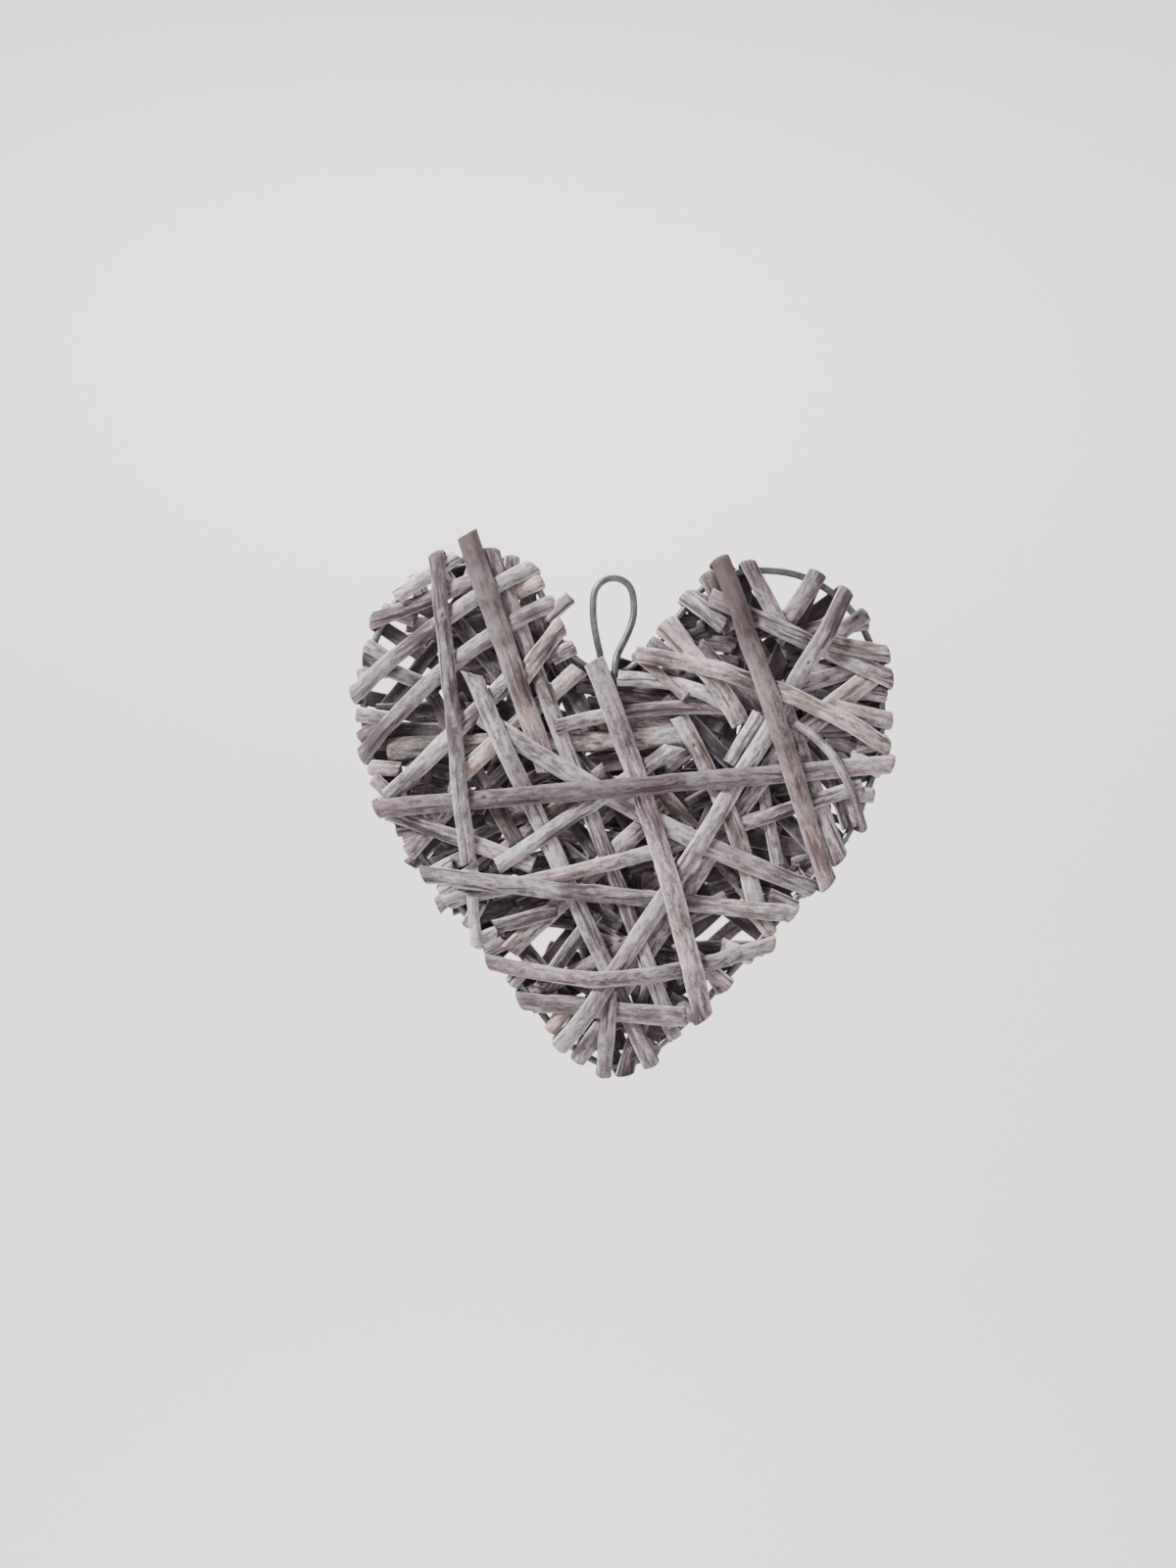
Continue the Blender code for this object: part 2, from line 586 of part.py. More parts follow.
def wire(name, points, closed):
    """A round wire through points in space."""
    curve = bpy.data.curves.new(name, "CURVE")
    curve.dimensions = "3D"
    curve.bevel_depth = WIRE_RADIUS
    curve.bevel_resolution = 2
    curve.use_fill_caps = True
    line = curve.splines.new("POLY")
    line.points.add(len(points) - 1)
    for point, place_in_space in zip(line.points, points):
        point.co = (*place_in_space, 1)
        point.radius = 1
    line.use_cyclic_u = closed
    line.use_smooth = True
    return add_object(name, curve, principled(name, WIRE_COLOUR, 1, WIRE_ROUGHNESS))


def loop_line():
    """The eye's wire: a tall arch, its right leg passing in front of the heart's wire and its left behind."""
    half = LOOP_WIDTH / 2
    out = WIRE_DIAMETER + CLEARANCE
    middle = WIRE_RADIUS - half
    arch = [(half * cos(turn), 0, middle + half * sin(turn)) for turn in np.linspace(0, pi, ARCH_POINTS)]
    right = [(half * across, -out * away, -LOOP_DROP * down) for down, across, _, away in LEG_COURSE]
    left = [(half * across, out * away, -LOOP_DROP * down) for down, _, across, away in LEG_COURSE]
    for leg in (right, left):
        x, y, z = leg[-1]
        leg.append((x, y, z - LOOP_TAIL))
    return smooth_line(right[::-1] + arch + left, LOOP_POINTS, closed=False)


def mark_wire(maps, points, closed):
    """Add a wire to both maps, each point with its own distance from the heart's plane."""
    points = np.array(points)
    nearer = np.roll(points, -1, axis=0) if closed else np.concatenate((points[1:], points[-1:]))
    for (x1, y1, z1), (x2, y2, z2) in zip(points, nearer):
        direction = np.array((x2 - x1, z2 - z1))
        if not direction.any():
            continue
        across = perpendicular(unit(direction)) * WIRE_RADIUS
        ends = np.array(((x1, z1), (x2, z2)))
        patch = band_points(ends + across, ends - across, shares_along(ends, ends))
        maps.add("front", patch, max(-min(y1, y2), 0) + WIRE_RADIUS)
        maps.add("rear", patch, max(max(y1, y2), 0) + WIRE_RADIUS)


def rod_rings():
    """The rod's cross sections, tapering a little from its thick end, with rounded ends."""
    start, end = place(ROD_START), place(ROD_END)
    across = perpendicular(unit(end - start))
    rings = []
    for share in ROD_STATIONS:
        middle = start + (end - start) * share
        size = (1 - ROD_TAPER * share) * (ROD_END_SIZE if share in (0, 1) else 1)
        rings.append([
            (*(middle + across * ROD_WIDTH / 2 * size * cos(turn)), ROD_DEPTH / 2 * size * sin(turn))
            for turn in np.arange(ROD_SIDES) * 2 * pi / ROD_SIDES
        ])
    return rings, start, end, across


def build():
    for item in list(bpy.data.objects):
        bpy.data.objects.remove(item)
    maps = Maps()
    heart = [(x, 0.0, z) for x, z in HEART]
    wire("wire_frame", heart, closed=True)
    mark_wire(maps, heart, closed=True)
    eye = loop_line()
    wire("hanging_loop", eye, closed=False)
    mark_wire(maps, eye, closed=False)
    rings, start, end, across = rod_rings()
    loft("centre_rod", rings, principled("centre_rod", COLOURS["violet"], 0, WOOD_ROUGHNESS))
    ends = np.array((start, end))
    side = across * ROD_WIDTH / 2
    patch = band_points(ends + side, ends - side, shares_along(ends, ends))
    for face in ("front", "rear"):
        maps.add(face, patch, ROD_DEPTH / 2)
    for number, (name, start, via, end, width, folds, side, colour) in enumerate(SPLITS):
        share = REAR_SHARES[number % len(REAR_SHARES)]
        via = None if via is None else place(via)
        rings = wind_split(maps, place(start), via, place(end), width * SPLIT_WIDTH, folds, side, share)
        loft(name, rings, principled(name, COLOURS[colour], 0, WOOD_ROUGHNESS))


build()
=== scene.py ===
import json
import zlib
from math import atan, cos, radians, sin

import bmesh
import bpy
import numpy as np
from mathutils import Matrix, Vector

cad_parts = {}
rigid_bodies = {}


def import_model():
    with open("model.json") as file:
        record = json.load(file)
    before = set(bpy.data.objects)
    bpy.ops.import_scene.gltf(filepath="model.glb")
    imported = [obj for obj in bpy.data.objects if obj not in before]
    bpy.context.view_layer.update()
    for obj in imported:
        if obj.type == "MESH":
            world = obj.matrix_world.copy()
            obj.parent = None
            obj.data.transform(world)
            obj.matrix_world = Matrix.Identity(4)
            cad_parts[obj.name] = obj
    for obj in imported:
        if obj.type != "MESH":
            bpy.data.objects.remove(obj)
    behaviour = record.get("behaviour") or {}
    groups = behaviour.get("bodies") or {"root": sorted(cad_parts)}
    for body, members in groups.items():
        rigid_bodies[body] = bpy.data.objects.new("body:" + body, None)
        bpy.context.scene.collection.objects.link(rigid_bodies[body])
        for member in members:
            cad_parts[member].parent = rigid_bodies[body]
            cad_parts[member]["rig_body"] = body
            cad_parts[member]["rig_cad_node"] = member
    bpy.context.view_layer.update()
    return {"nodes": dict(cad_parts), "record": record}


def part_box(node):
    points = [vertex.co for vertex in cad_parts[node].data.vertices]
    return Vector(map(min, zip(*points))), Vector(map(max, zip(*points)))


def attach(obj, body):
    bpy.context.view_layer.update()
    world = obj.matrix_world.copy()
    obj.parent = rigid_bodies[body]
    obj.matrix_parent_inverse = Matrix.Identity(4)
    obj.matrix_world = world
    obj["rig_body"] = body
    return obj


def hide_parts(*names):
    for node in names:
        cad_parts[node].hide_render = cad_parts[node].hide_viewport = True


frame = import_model()


# The heart's wire: one drawn steel wire, bent to a heart and closed in the notch. It has gone a dull mid
# grey, with faint draw marks along it and a few darker places where damp wood has lain against it.
WIRE_GREY = (0.115, 0.120, 0.130)
WIRE_DARK = (0.055, 0.052, 0.052)
WIRE_PALE = (0.23, 0.236, 0.25)
MERGE = 0.00001
QUAD_ANGLE = radians(60)      # how far two triangles may differ and still be joined to one quad
NOISE_ROUGHNESS = 0.66


def select_only(piece):
    """Makes a piece the one that the operators work on."""
    bpy.ops.object.select_all(action="DESELECT")
    piece.hide_set(False)
    piece.select_set(True)
    bpy.context.view_layer.objects.active = piece


def merged_copy(node, name):
    """A copy of a CAD node under a new name, its loose triangles joined up into quads."""
    piece = node.copy()
    piece.data = node.data.copy()
    piece.parent = None
    piece.name = piece.data.name = name
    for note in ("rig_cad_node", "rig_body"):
        del piece[note]
    piece.data.materials.clear()
    bpy.context.scene.collection.objects.link(piece)
    select_only(piece)
    bpy.ops.object.mode_set(mode="EDIT")
    bpy.ops.mesh.select_all(action="SELECT")
    bpy.ops.mesh.remove_doubles(threshold=MERGE)
    bpy.ops.mesh.tris_convert_to_quads(face_threshold=QUAD_ANGLE, shape_threshold=QUAD_ANGLE)
    bpy.ops.object.mode_set(mode="OBJECT")
    return piece


def new_material(name):
    """A fresh material with its node tree and its shader."""
    material = bpy.data.materials.new(name)
    material.use_nodes = True
    tree = material.node_tree
    return material, tree, tree.nodes["Principled BSDF"]


def link(tree, *pairs):
    """Links each pair's output socket to its input socket."""
    for source, target in pairs:
        tree.links.new(source, target)


def noise(tree, vector, scale, detail, name, stretch=(1, 1, 1)):
    """A noise texture over a vector that is stretched first."""
    mapping = tree.nodes.new("ShaderNodeMapping")
    mapping.inputs["Scale"].default_value = stretch
    texture = tree.nodes.new("ShaderNodeTexNoise")
    texture.name = name
    texture.inputs["Scale"].default_value = scale
    texture.inputs["Detail"].default_value = detail
    texture.inputs["Roughness"].default_value = NOISE_ROUGHNESS
    link(tree, (vector, mapping.inputs["Vector"]), (mapping.outputs[0], texture.inputs["Vector"]))
    return texture.outputs["Fac"]


def ramp(tree, value, *stops):
    """A colour ramp from value, its stops given as (place, colour or grey)."""
    node = tree.nodes.new("ShaderNodeValToRGB")
    elements = node.color_ramp.elements
    while len(elements) < len(stops):
        elements.new(0.5)
    for element, (place, colour) in zip(elements, stops):
        element.position = place
        element.color = (*colour, 1) if isinstance(colour, tuple) else (colour, colour, colour, 1)
    link(tree, (value, node.inputs[0]))
    return node.outputs[0]


def mix(tree, factor, first, second, blend="MIX"):
    """Mix of two colours, each a socket or a plain colour; factor is a socket or a number."""
    node = tree.nodes.new("ShaderNodeMix")
    node.data_type = "RGBA"
    node.blend_type = blend
    for value, socket in ((factor, node.inputs[0]), (first, node.inputs[6]), (second, node.inputs[7])):
        if isinstance(value, bpy.types.NodeSocket):
            link(tree, (value, socket))
        elif isinstance(value, tuple):
            socket.default_value = (*value, 1)
        else:
            socket.default_value = value
    return node.outputs[2]


def bump(tree, shader, height, strength, distance, over=None):
    """A bump on the shader's normal, laid over another bump if there is one."""
    node = tree.nodes.new("ShaderNodeBump")
    node.inputs["Strength"].default_value = strength
    node.inputs["Distance"].default_value = distance
    link(tree, (height, node.inputs["Height"]), (node.outputs[0], shader.inputs["Normal"]))
    if over:
        link(tree, (over.outputs[0], node.inputs["Normal"]))
    return node


def wire_steel():
    """Dull drawn steel, clouded by damp and finely marked along its length."""
    material, tree, shader = new_material("drawn_wire")
    place = tree.nodes.new("ShaderNodeTexCoord").outputs["Object"]
    cloudy = noise(tree, place, 90, 4, "stains")
    fine = noise(tree, place, 1500, 3, "draw_marks")
    tone = ramp(tree, cloudy, (0.34, WIRE_DARK), (0.50, WIRE_GREY), (0.72, WIRE_PALE))
    colour = mix(tree, 0.25, tone, ramp(tree, fine, (0.35, WIRE_DARK), (0.65, WIRE_PALE)))
    link(tree, (colour, shader.inputs["Base Color"]))
    link(tree, (ramp(tree, cloudy, (0.3, 0.48), (0.7, 0.30)), shader.inputs["Roughness"]))
    shader.inputs["Metallic"].default_value = 0.75
    bump(tree, shader, fine, 0.25, 0.00005)
    return material


WIRE = wire_steel()


# What the corners of an eight-sided section lose when it is subdivided to a round, as a share of its radius.
SMOOTHING_LOSS = 1 - (4 + 2 * cos(radians(45))) / 6


def round_wire(node, name, radius):
    """A CAD wire smoothed to a round, its corners to bends, and brought back to its radius."""
    piece = merged_copy(node, name)
    select_only(piece)
    bpy.ops.object.modifier_add(type="SUBSURF")
    smooth = piece.modifiers[-1]
    smooth.levels = smooth.render_levels = 2
    bpy.ops.object.modifier_apply(modifier=smooth.name)
    bpy.ops.object.mode_set(mode="EDIT")
    bpy.ops.mesh.select_all(action="SELECT")
    bpy.ops.transform.shrink_fatten(value=radius * SMOOTHING_LOSS)
    bpy.ops.object.mode_set(mode="OBJECT")
    bpy.ops.object.shade_smooth()
    piece.data.materials.append(WIRE)
    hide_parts(node.name)
    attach(piece, "root")
    return piece


WIRE_RADIUS = 0.0015
heart_wire = round_wire(frame["nodes"]["wire_frame"], "heart_wire", WIRE_RADIUS)


# The loop: a second wire of the same steel, bent to a tall narrow eye over the nail. Its right leg comes
# down in front of the heart's wire and its left leg behind it, and both end under the willow.
round_wire(frame["nodes"]["hanging_loop"], "loop_wire", WIRE_RADIUS)


# The willow splits: strips split from willow rods, wound wet round the wire and over one another, and left
# to dry. Their outer face is crowned, their back flat. Thin whitewash has worn off along the grain, and
# the wood under it has weathered to grey, violet and tan, with dark streaks, checks and pits.
ARRIS_ANGLES = radians(58), radians(122)
FLAT_ANGLE = radians(2)


def rungs_from(rung, cap_faces, all_caps, most):
    """The pairs of corners across a CAD split's narrow side, from one end face to the other."""
    here = rung
    face = next(face for face in here[0].link_faces if here[1] in face.verts and face not in cap_faces)
    rungs = [here]
    while face not in all_caps and len(rungs) < most:
        tip = next(vertex for vertex in face.verts if vertex not in here)
        choices = []
        for side, corner in enumerate(here):
            crossing = next(edge for edge in face.edges if corner in edge.verts and tip in edge.verts)
            beyond = next(other for other in crossing.link_faces if other is not face)
            far = next(vertex for vertex in beyond.verts if vertex not in crossing.verts)
            reach = (tip.co - far.co).length / (here[0].co - here[1].co).length
            choices.append((sin(crossing.calc_face_angle()) + abs(reach - 1), side, beyond, far))
        side, beyond, far = min(choices, key=lambda choice: choice[0])[1:]
        here = (far, tip) if side == 0 else (tip, far)
        rungs.append(here)
        ahead = next(edge for edge in beyond.edges if far in edge.verts and tip in edge.verts)
        face = next(other for other in ahead.link_faces if other is not beyond)
    return [[np.array(corner.co) for corner in pair] for pair in rungs]


def rings_of(node):
    """A split's cross sections from end to end, read off its CAD solid's two narrow sides rung by rung.

    The corners of each come as back left, back right, front right and front left.
    """
    work = bmesh.new()
    work.from_mesh(node.data)
    bmesh.ops.remove_doubles(work, verts=work.verts, dist=MERGE)
    caps = []
    for middle in work.edges:
        rim = [edge for face in middle.link_faces for edge in face.edges if edge is not middle]
        bends = [edge.calc_face_angle() for edge in rim]
        is_flat = middle.calc_face_angle() < FLAT_ANGLE
        if is_flat and ARRIS_ANGLES[0] < min(bends) and max(bends) < ARRIS_ANGLES[1]:
            area = sum(face.calc_area() for face in middle.link_faces)
            caps.append((area, middle.link_faces[:], sorted(rim, key=lambda edge: edge.calc_length())))
    caps = sorted(caps, key=lambda cap: cap[0])[:2]
    cap_faces, rim = caps[0][1:]
    both = [face for cap in caps for face in cap[1]]
    first, fourth = rim[0].verts
    second = next(edge for edge in rim[2:] if first in edge.verts).other_vert(first)
    third = rim[1].other_vert(second)
    left = rungs_from((first, fourth), cap_faces, both, len(work.verts))
    right = rungs_from((second, third), cap_faces, both, len(work.verts))
    work.free()
    rings = np.array([[a[0], b[0], b[1], a[1]] for a, b in zip(left, right, strict=True)])
    proudest = np.abs(rings[:, :, 1].mean(axis=1)).argmax()
    depth = np.abs(rings[proudest, :, 1])
    if depth[0] + depth[1] > depth[2] + depth[3]:
        rings = rings[:, (3, 2, 1, 0)]
    return rings


FINE_STEP = 0.0003            # spacing at which a split's bends are softened
BEND_SOFTNESS = 0.0018
FOLD_SOFTNESS = 0.0008
FOLD_REACH = 0.007            # how far a fold's tighter bend reaches along the split
FEWEST_STATIONS = 6


def distances(points):
    """How far along its course each of the points lies."""
    return np.concatenate(([0], np.cumsum(np.linalg.norm(np.diff(points, axis=0), axis=1))))


def soften(tracks, softness):
    """Tracks at fine steps, their corners rounded over a length and their ends kept in place."""
    reach = int(3 * softness / FINE_STEP)
    weights = np.exp(-0.5 * (np.arange(-reach, reach + 1) * FINE_STEP / softness) ** 2)
    weights /= weights.sum()
    steps = np.arange(1, reach + 1)[:, None]
    before = tracks[0] - (tracks[1] - tracks[0]) * steps[::-1]
    after = tracks[-1] + (tracks[-1] - tracks[-2]) * steps
    padded = np.concatenate((before, tracks, after))
    return np.column_stack([np.convolve(column, weights, mode="valid") for column in padded.T])


def bent_tracks(rings, step):
    """The four edges of a split as it really bends, with the distance along it at each station."""
    run = distances(rings.mean(axis=1))
    fine = np.linspace(0, run[-1], int(run[-1] / FINE_STEP) + 2)
    flat = rings.reshape(len(rings), 12)
    tracks = np.column_stack([np.interp(fine, run, column) for column in flat.T])
    depth = tracks[:, 1::3].mean(axis=1)
    folds = fine[1:][np.sign(depth[1:]) != np.sign(depth[:-1])]
    away = np.full(len(fine), 1.0)
    for fold in folds:
        away = np.minimum(away, np.clip(np.abs(fine - fold) / FOLD_REACH, 0, 1))
    away = (away * away * (3 - 2 * away))[:, None]
    tracks = soften(tracks, FOLD_SOFTNESS) * (1 - away) + soften(tracks, BEND_SOFTNESS) * away
    run = distances(tracks.reshape(-1, 4, 3).mean(axis=1))
    stations = np.linspace(0, run[-1], max(FEWEST_STATIONS, int(run[-1] / step)))
    tracks = np.column_stack([np.interp(stations, run, column) for column in tracks.T])
    return tracks.reshape(-1, 4, 3), stations


CROWN_COLUMNS = 24
BACK_COLUMNS = 8
EDGE_SHARE = 0.26             # height of the split's arris, as a share of its thickness
CROWN_POWER = 1.9             # the higher, the fuller the crown towards its edges
BACK_POWERS = 7, 0.35         # the same for the flat back, and for how soon it turns up at its edges


def section():
    """The split's section: places across from -1 to 1 and through from 0 at the back to 1 at the crown."""
    over = np.sin(np.linspace(-np.pi / 2, np.pi / 2, CROWN_COLUMNS))
    crown = EDGE_SHARE + (1 - EDGE_SHARE) * np.sqrt(1 - np.abs(over) ** CROWN_POWER)
    under = np.sin(np.linspace(np.pi / 2, -np.pi / 2, BACK_COLUMNS + 2)[1:-1])
    back = EDGE_SHARE * (1 - (1 - np.abs(under) ** BACK_POWERS[0]) ** BACK_POWERS[1])
    return np.concatenate((over, under)), np.concatenate((crown, back))


ACROSS, THROUGH = section()
LATTICE = 64                  # how many random values a side of the noise table has


def lattice(seed, along, across):
    """Smooth noise from -1 to 1 over two coordinates, one random value to the unit."""
    table = np.random.default_rng(seed).uniform(-1, 1, (LATTICE, LATTICE))
    row, column = np.floor(along).astype(int), np.floor(across).astype(int)
    down, over = along - row, across - column
    down, over = down * down * (3 - 2 * down), over * over * (3 - 2 * over)
    row, below = row % LATTICE, (row + 1) % LATTICE
    column, beside = column % LATTICE, (column + 1) % LATTICE
    near = table[row, column] * (1 - over) + table[row, beside] * over
    far = table[below, column] * (1 - over) + table[below, beside] * over
    return near * (1 - down) + far * down


# The relief: a slow swell, raised grain with finer fibres on it, and long drying checks. A cell is the length
# along and around the split to one random value.
SPLIT_WIDTH = 0.0078
CROWN_SPAN = SPLIT_WIDTH * 1.1       # from edge to edge over the crown
SWELL = 0.00016
SWELL_CELL = 0.017, 0.020
GRAIN = 0.00009
GRAIN_CELL = 0.012, 0.0008
FIBRE_SHARE = 0.6
FIBRE_CELL = 0.0035, 0.0005
CHECK_SPACING = 0.035
CHECK_HALF_LENGTH = 0.004, 0.020
CHECK_LINE = 0.12, 0.88       # where across the crown a check may lie, as shares of it
CHECK_WAVER = 0.0006
CHECK_DEPTH = 0.00042
SHALLOWEST_CHECK = 0.4        # as a share of that depth
CHECK_WIDTH = 0.00030
KNOT_RISE = 0.00045
KNOT_PIT = 0.0011
KNOT_LENGTH = 1.5             # as a share of its width
PIT_TIGHTNESS = 2.4           # how many times narrower than the knot its pit is


def relief_of(seed, along, around, knots):
    """How far the surface stands off the smooth section, in metres, at each station and column."""
    rng = np.random.default_rng(seed)
    height = SWELL * lattice(seed + 1, along / SWELL_CELL[0], around / SWELL_CELL[1])
    height += GRAIN * lattice(seed + 2, along / GRAIN_CELL[0], around / GRAIN_CELL[1])
    height += FIBRE_SHARE * GRAIN * lattice(seed + 3, along / FIBRE_CELL[0], around / FIBRE_CELL[1])
    length = along.max()
    for _ in range(2 + int(length / CHECK_SPACING)):
        middle, half = rng.uniform(0, length), rng.uniform(*CHECK_HALF_LENGTH)
        line = rng.uniform(*CHECK_LINE) * CROWN_SPAN
        line = line + CHECK_WAVER * lattice(seed + 4, along / GRAIN_CELL[0], along * 0)
        shape = np.clip(1 - ((along - middle) / half) ** 2, 0, 1)
        depth = CHECK_DEPTH * rng.uniform(SHALLOWEST_CHECK, 1)
        height -= depth * shape * np.exp(-((around - line) / CHECK_WIDTH) ** 2)
    for place, line, size in knots:
        off = np.hypot((along - place) / KNOT_LENGTH, around - line * CROWN_SPAN) / size
        height += KNOT_RISE * np.exp(-off ** 2) - KNOT_PIT * np.exp(-(off * PIT_TIGHTNESS) ** 2)
    return height


NIBBLE = 0.10                 # how much of the half width the edges may lose
NIBBLE_CELL = 0.011
THINNING = 0.10               # how much of its thickness a split may lose
THINNING_CELL = 0.023


def wear(seed, share, places, cell):
    """What wear leaves of a measure at each place along a split, all of it or down to 1 - share of it."""
    return 1 - share * (0.5 + 0.5 * lattice(seed, places / cell, places * 0))


def skin_of(seed, narrowed, tracks, stations):
    """The smooth surface of a split at each station and column, its edges and its face a little worn."""
    left, right = (wear(seed + side, NIBBLE, stations, NIBBLE_CELL)[:, None] for side in (7, 8))
    across = np.where(ACROSS < 0, left, right) * ACROSS * narrowed
    through = (THROUGH * wear(seed + 9, THINNING, stations, THINNING_CELL)[:, None])[..., None]
    share = ((across + 1) / 2)[..., None]
    back_left, back_right, front_right, front_left = (tracks[:, None, corner] for corner in range(4))
    back = back_left * (1 - share) + back_right * share
    front = front_left * (1 - share) + front_right * share
    return back * (1 - through) + front * through


def normals_of(points):
    """The normals of a split's surface at each station and column, pointing out of it."""
    sideways = np.roll(points, -1, axis=1) - np.roll(points, 1, axis=1)
    normals = np.cross(sideways, np.gradient(points, axis=0))
    normals /= np.linalg.norm(normals, axis=2, keepdims=True)
    middle = points.mean(axis=1, keepdims=True)
    return -normals if ((points - middle) * normals).sum() < 0 else normals


SLANT = 0.0024                # how far an end may be cut off square
SLANT_REACH = 0.010
RAGGED = 0.0007
RAGGED_CELL = 0.0011
CAP_SHARES = (0.93, 0.62, 0.28)
CAP_BULGE = 0.00025
CAP_GRAIN = 0.00012
CAP_LENGTH = 0.001            # how far the grain runs on over an end's cut face


def cut_aslant(points, tangents, stations, slants):
    """The points with those near the ends moved inwards, the more the nearer they are to one edge."""
    for slant, sign, from_end in zip(slants, (1, -1), (stations, stations[-1] - stations)):
        nearness = np.clip(1 - from_end / SLANT_REACH, 0, 1)[:, None]
        cut = abs(slant) * (1 + ACROSS * np.sign(slant)) / 2 * nearness
        points = points + sign * tangents[:, None, :] * cut[..., None]
    return points


def with_ends(seed, points, relief, along, around, tangents):
    """A split's rows with its torn ends closed by caps, with the relief and the place along it of each."""
    rows, heights, lengths = [points], [relief], [along]
    for end, inside, beyond, sign in ((0, 1, 2, 1), (-1, -2, -3, -1)):
        torn = lattice(seed + 11 + end, around[end] / RAGGED_CELL, around[end] * 0 + 3)
        points[end] += sign * tangents[end] * RAGGED * (0.5 + 0.5 * torn)[:, None]
        points[inside] = 0.5 * points[inside] + 0.25 * (points[end] + points[beyond])
        centre = points[end].mean(axis=0)
        for share in CAP_SHARES:
            bulge = CAP_BULGE * (1 - share) - CAP_GRAIN * relief[end][:, None] / GRAIN
            row = centre + (points[end] - centre) * share - sign * tangents[end] * bulge
            place = len(rows) if end else 0
            rows.insert(place, row[None])
            heights.insert(place, np.full((1, len(ACROSS)), -GRAIN))
            lengths.insert(place, along[end][None] - sign * CAP_LENGTH * (1 - share))
    return (np.concatenate(parts) for parts in (rows, heights, lengths))


def tube(points, along, span):
    """The faces between the rows of a tube, and the place of each of their corners in the grain map."""
    rows, columns = points.shape[:2]
    quads = [((row, column), (row, column + 1), (row + 1, column + 1), (row + 1, column))
             for row in range(rows - 1) for column in range(columns)]
    faces = [tuple(row * columns + column % columns for row, column in quad) for quad in quads]
    grain = [(along[row, column % columns], span[column]) for quad in quads for row, column in quad]
    return faces, grain


def grained_mesh(name, vertices, faces, grain):
    """A mesh with the map that the wood's pattern runs along."""
    mesh = bpy.data.meshes.new(name)
    mesh.from_pydata(vertices.tolist(), [], faces)
    mesh.uv_layers.new(name="grain").data.foreach_set("uv", np.array(grain).ravel())
    return mesh


def point_attribute(mesh, name, values):
    """Writes one value for each vertex, for the wood's material to read."""
    mesh.attributes.new(name, "FLOAT", "POINT").data.foreach_set("value", values)


STATION_STEP = 0.0010         # spacing of the finished mesh along the split
HIDDEN_STEP = 0.0020          # the same for the tucks that lie deep inside
GRAIN_STARTS = 997            # how many different places the grain map may start at
STARTS_PER_METRE = 97
TUCK_BACK_SHADE = 0.4               # how dark a tuck's back is painted, where that of a long split is 1: partly bare wood, partly painted shade
PALE_EDGE_SHARPNESS = 5           # the higher, the narrower the pale edges, partly worn whitewash and partly a painted highlight
# The splits that have dried to less than the width of their CAD solid, as a share of it.
NARROWED = {"right_curl": 0.62, "right_inner_drop": 0.9}
# The ends that are cut the most aslant: how far back one edge is cut at the first end and at the other.
SLANTS = {"long_centre_fall": (-0.006, 0.001), "centre_rise": (0.007, 0.001), "notch_slant": (0.004, 0.001)}


def split_mesh(name, rings, knots):
    """The finished mesh of one split, lofted through its sections, with its grain, checks and cut ends."""
    seed = zlib.crc32(name.encode())
    short_name = name.removesuffix("_split")
    tracks, stations = bent_tracks(rings, HIDDEN_STEP if name.startswith("inner") else STATION_STEP)
    columns = len(ACROSS)
    points = skin_of(seed, NARROWED.get(short_name, 1), tracks, stations)
    along = np.repeat(stations[:, None], columns, axis=1)
    steps_around = np.linalg.norm(np.diff(points, axis=1), axis=2).mean(axis=0)
    around = np.tile(np.concatenate(([0], np.cumsum(steps_around))), (len(stations), 1))
    relief = relief_of(seed, along, around, knots)
    tangents = np.gradient(points, axis=0).mean(axis=1)
    tangents /= np.linalg.norm(tangents, axis=1, keepdims=True)
    points = points + normals_of(points) * relief[..., None]
    slants = SLANTS.get(short_name, np.random.default_rng(seed + 31).uniform(-SLANT, SLANT, 2))
    points = cut_aslant(points, tangents, stations, slants)
    points, relief, along = with_ends(seed, points, relief, along, around, tangents)
    along = along + seed % GRAIN_STARTS / STARTS_PER_METRE
    span = np.append(around[0], around[0, -1] + np.linalg.norm(points[0, -1] - points[0, 0]))
    faces, grain = tube(points, along, span)
    last_row = len(points) - 1
    first_tip = len(points) * columns
    for row, tip, order in ((0, first_tip, -1), (last_row, first_tip + 1, 1)):
        for column in range(columns):
            pair = (row * columns + column, row * columns + (column + 1) % columns)
            faces.append((tip, *pair[::order]))
            grain += [(along[row, 0], span[column])] * 3
    tips = [points[0].mean(axis=0), points[-1].mean(axis=0)]
    mesh = grained_mesh(name, np.concatenate((points.reshape(-1, 3), tips)), faces, grain)
    point_attribute(mesh, "relief", 0.5 + np.append(relief.ravel(), (-GRAIN, -GRAIN)) / (4 * GRAIN))
    # The flat backs are darkened: they are bare of whitewash, and the darkness is also painted shade on the
    # backs seen deep through the gaps.
    on_back = np.arange(columns) >= CROWN_COLUMNS
    for attribute_name, profile in (("inner", on_back * (TUCK_BACK_SHADE if "tuck" in name else 1.0)),
                                    ("crown", np.where(on_back, 0, np.cos(ACROSS * np.pi / 2))),
                                    ("arris", np.abs(ACROSS) ** PALE_EDGE_SHARPNESS)):
        point_attribute(mesh, attribute_name, np.append(np.tile(profile, len(points)), (0, 0)))
    return mesh
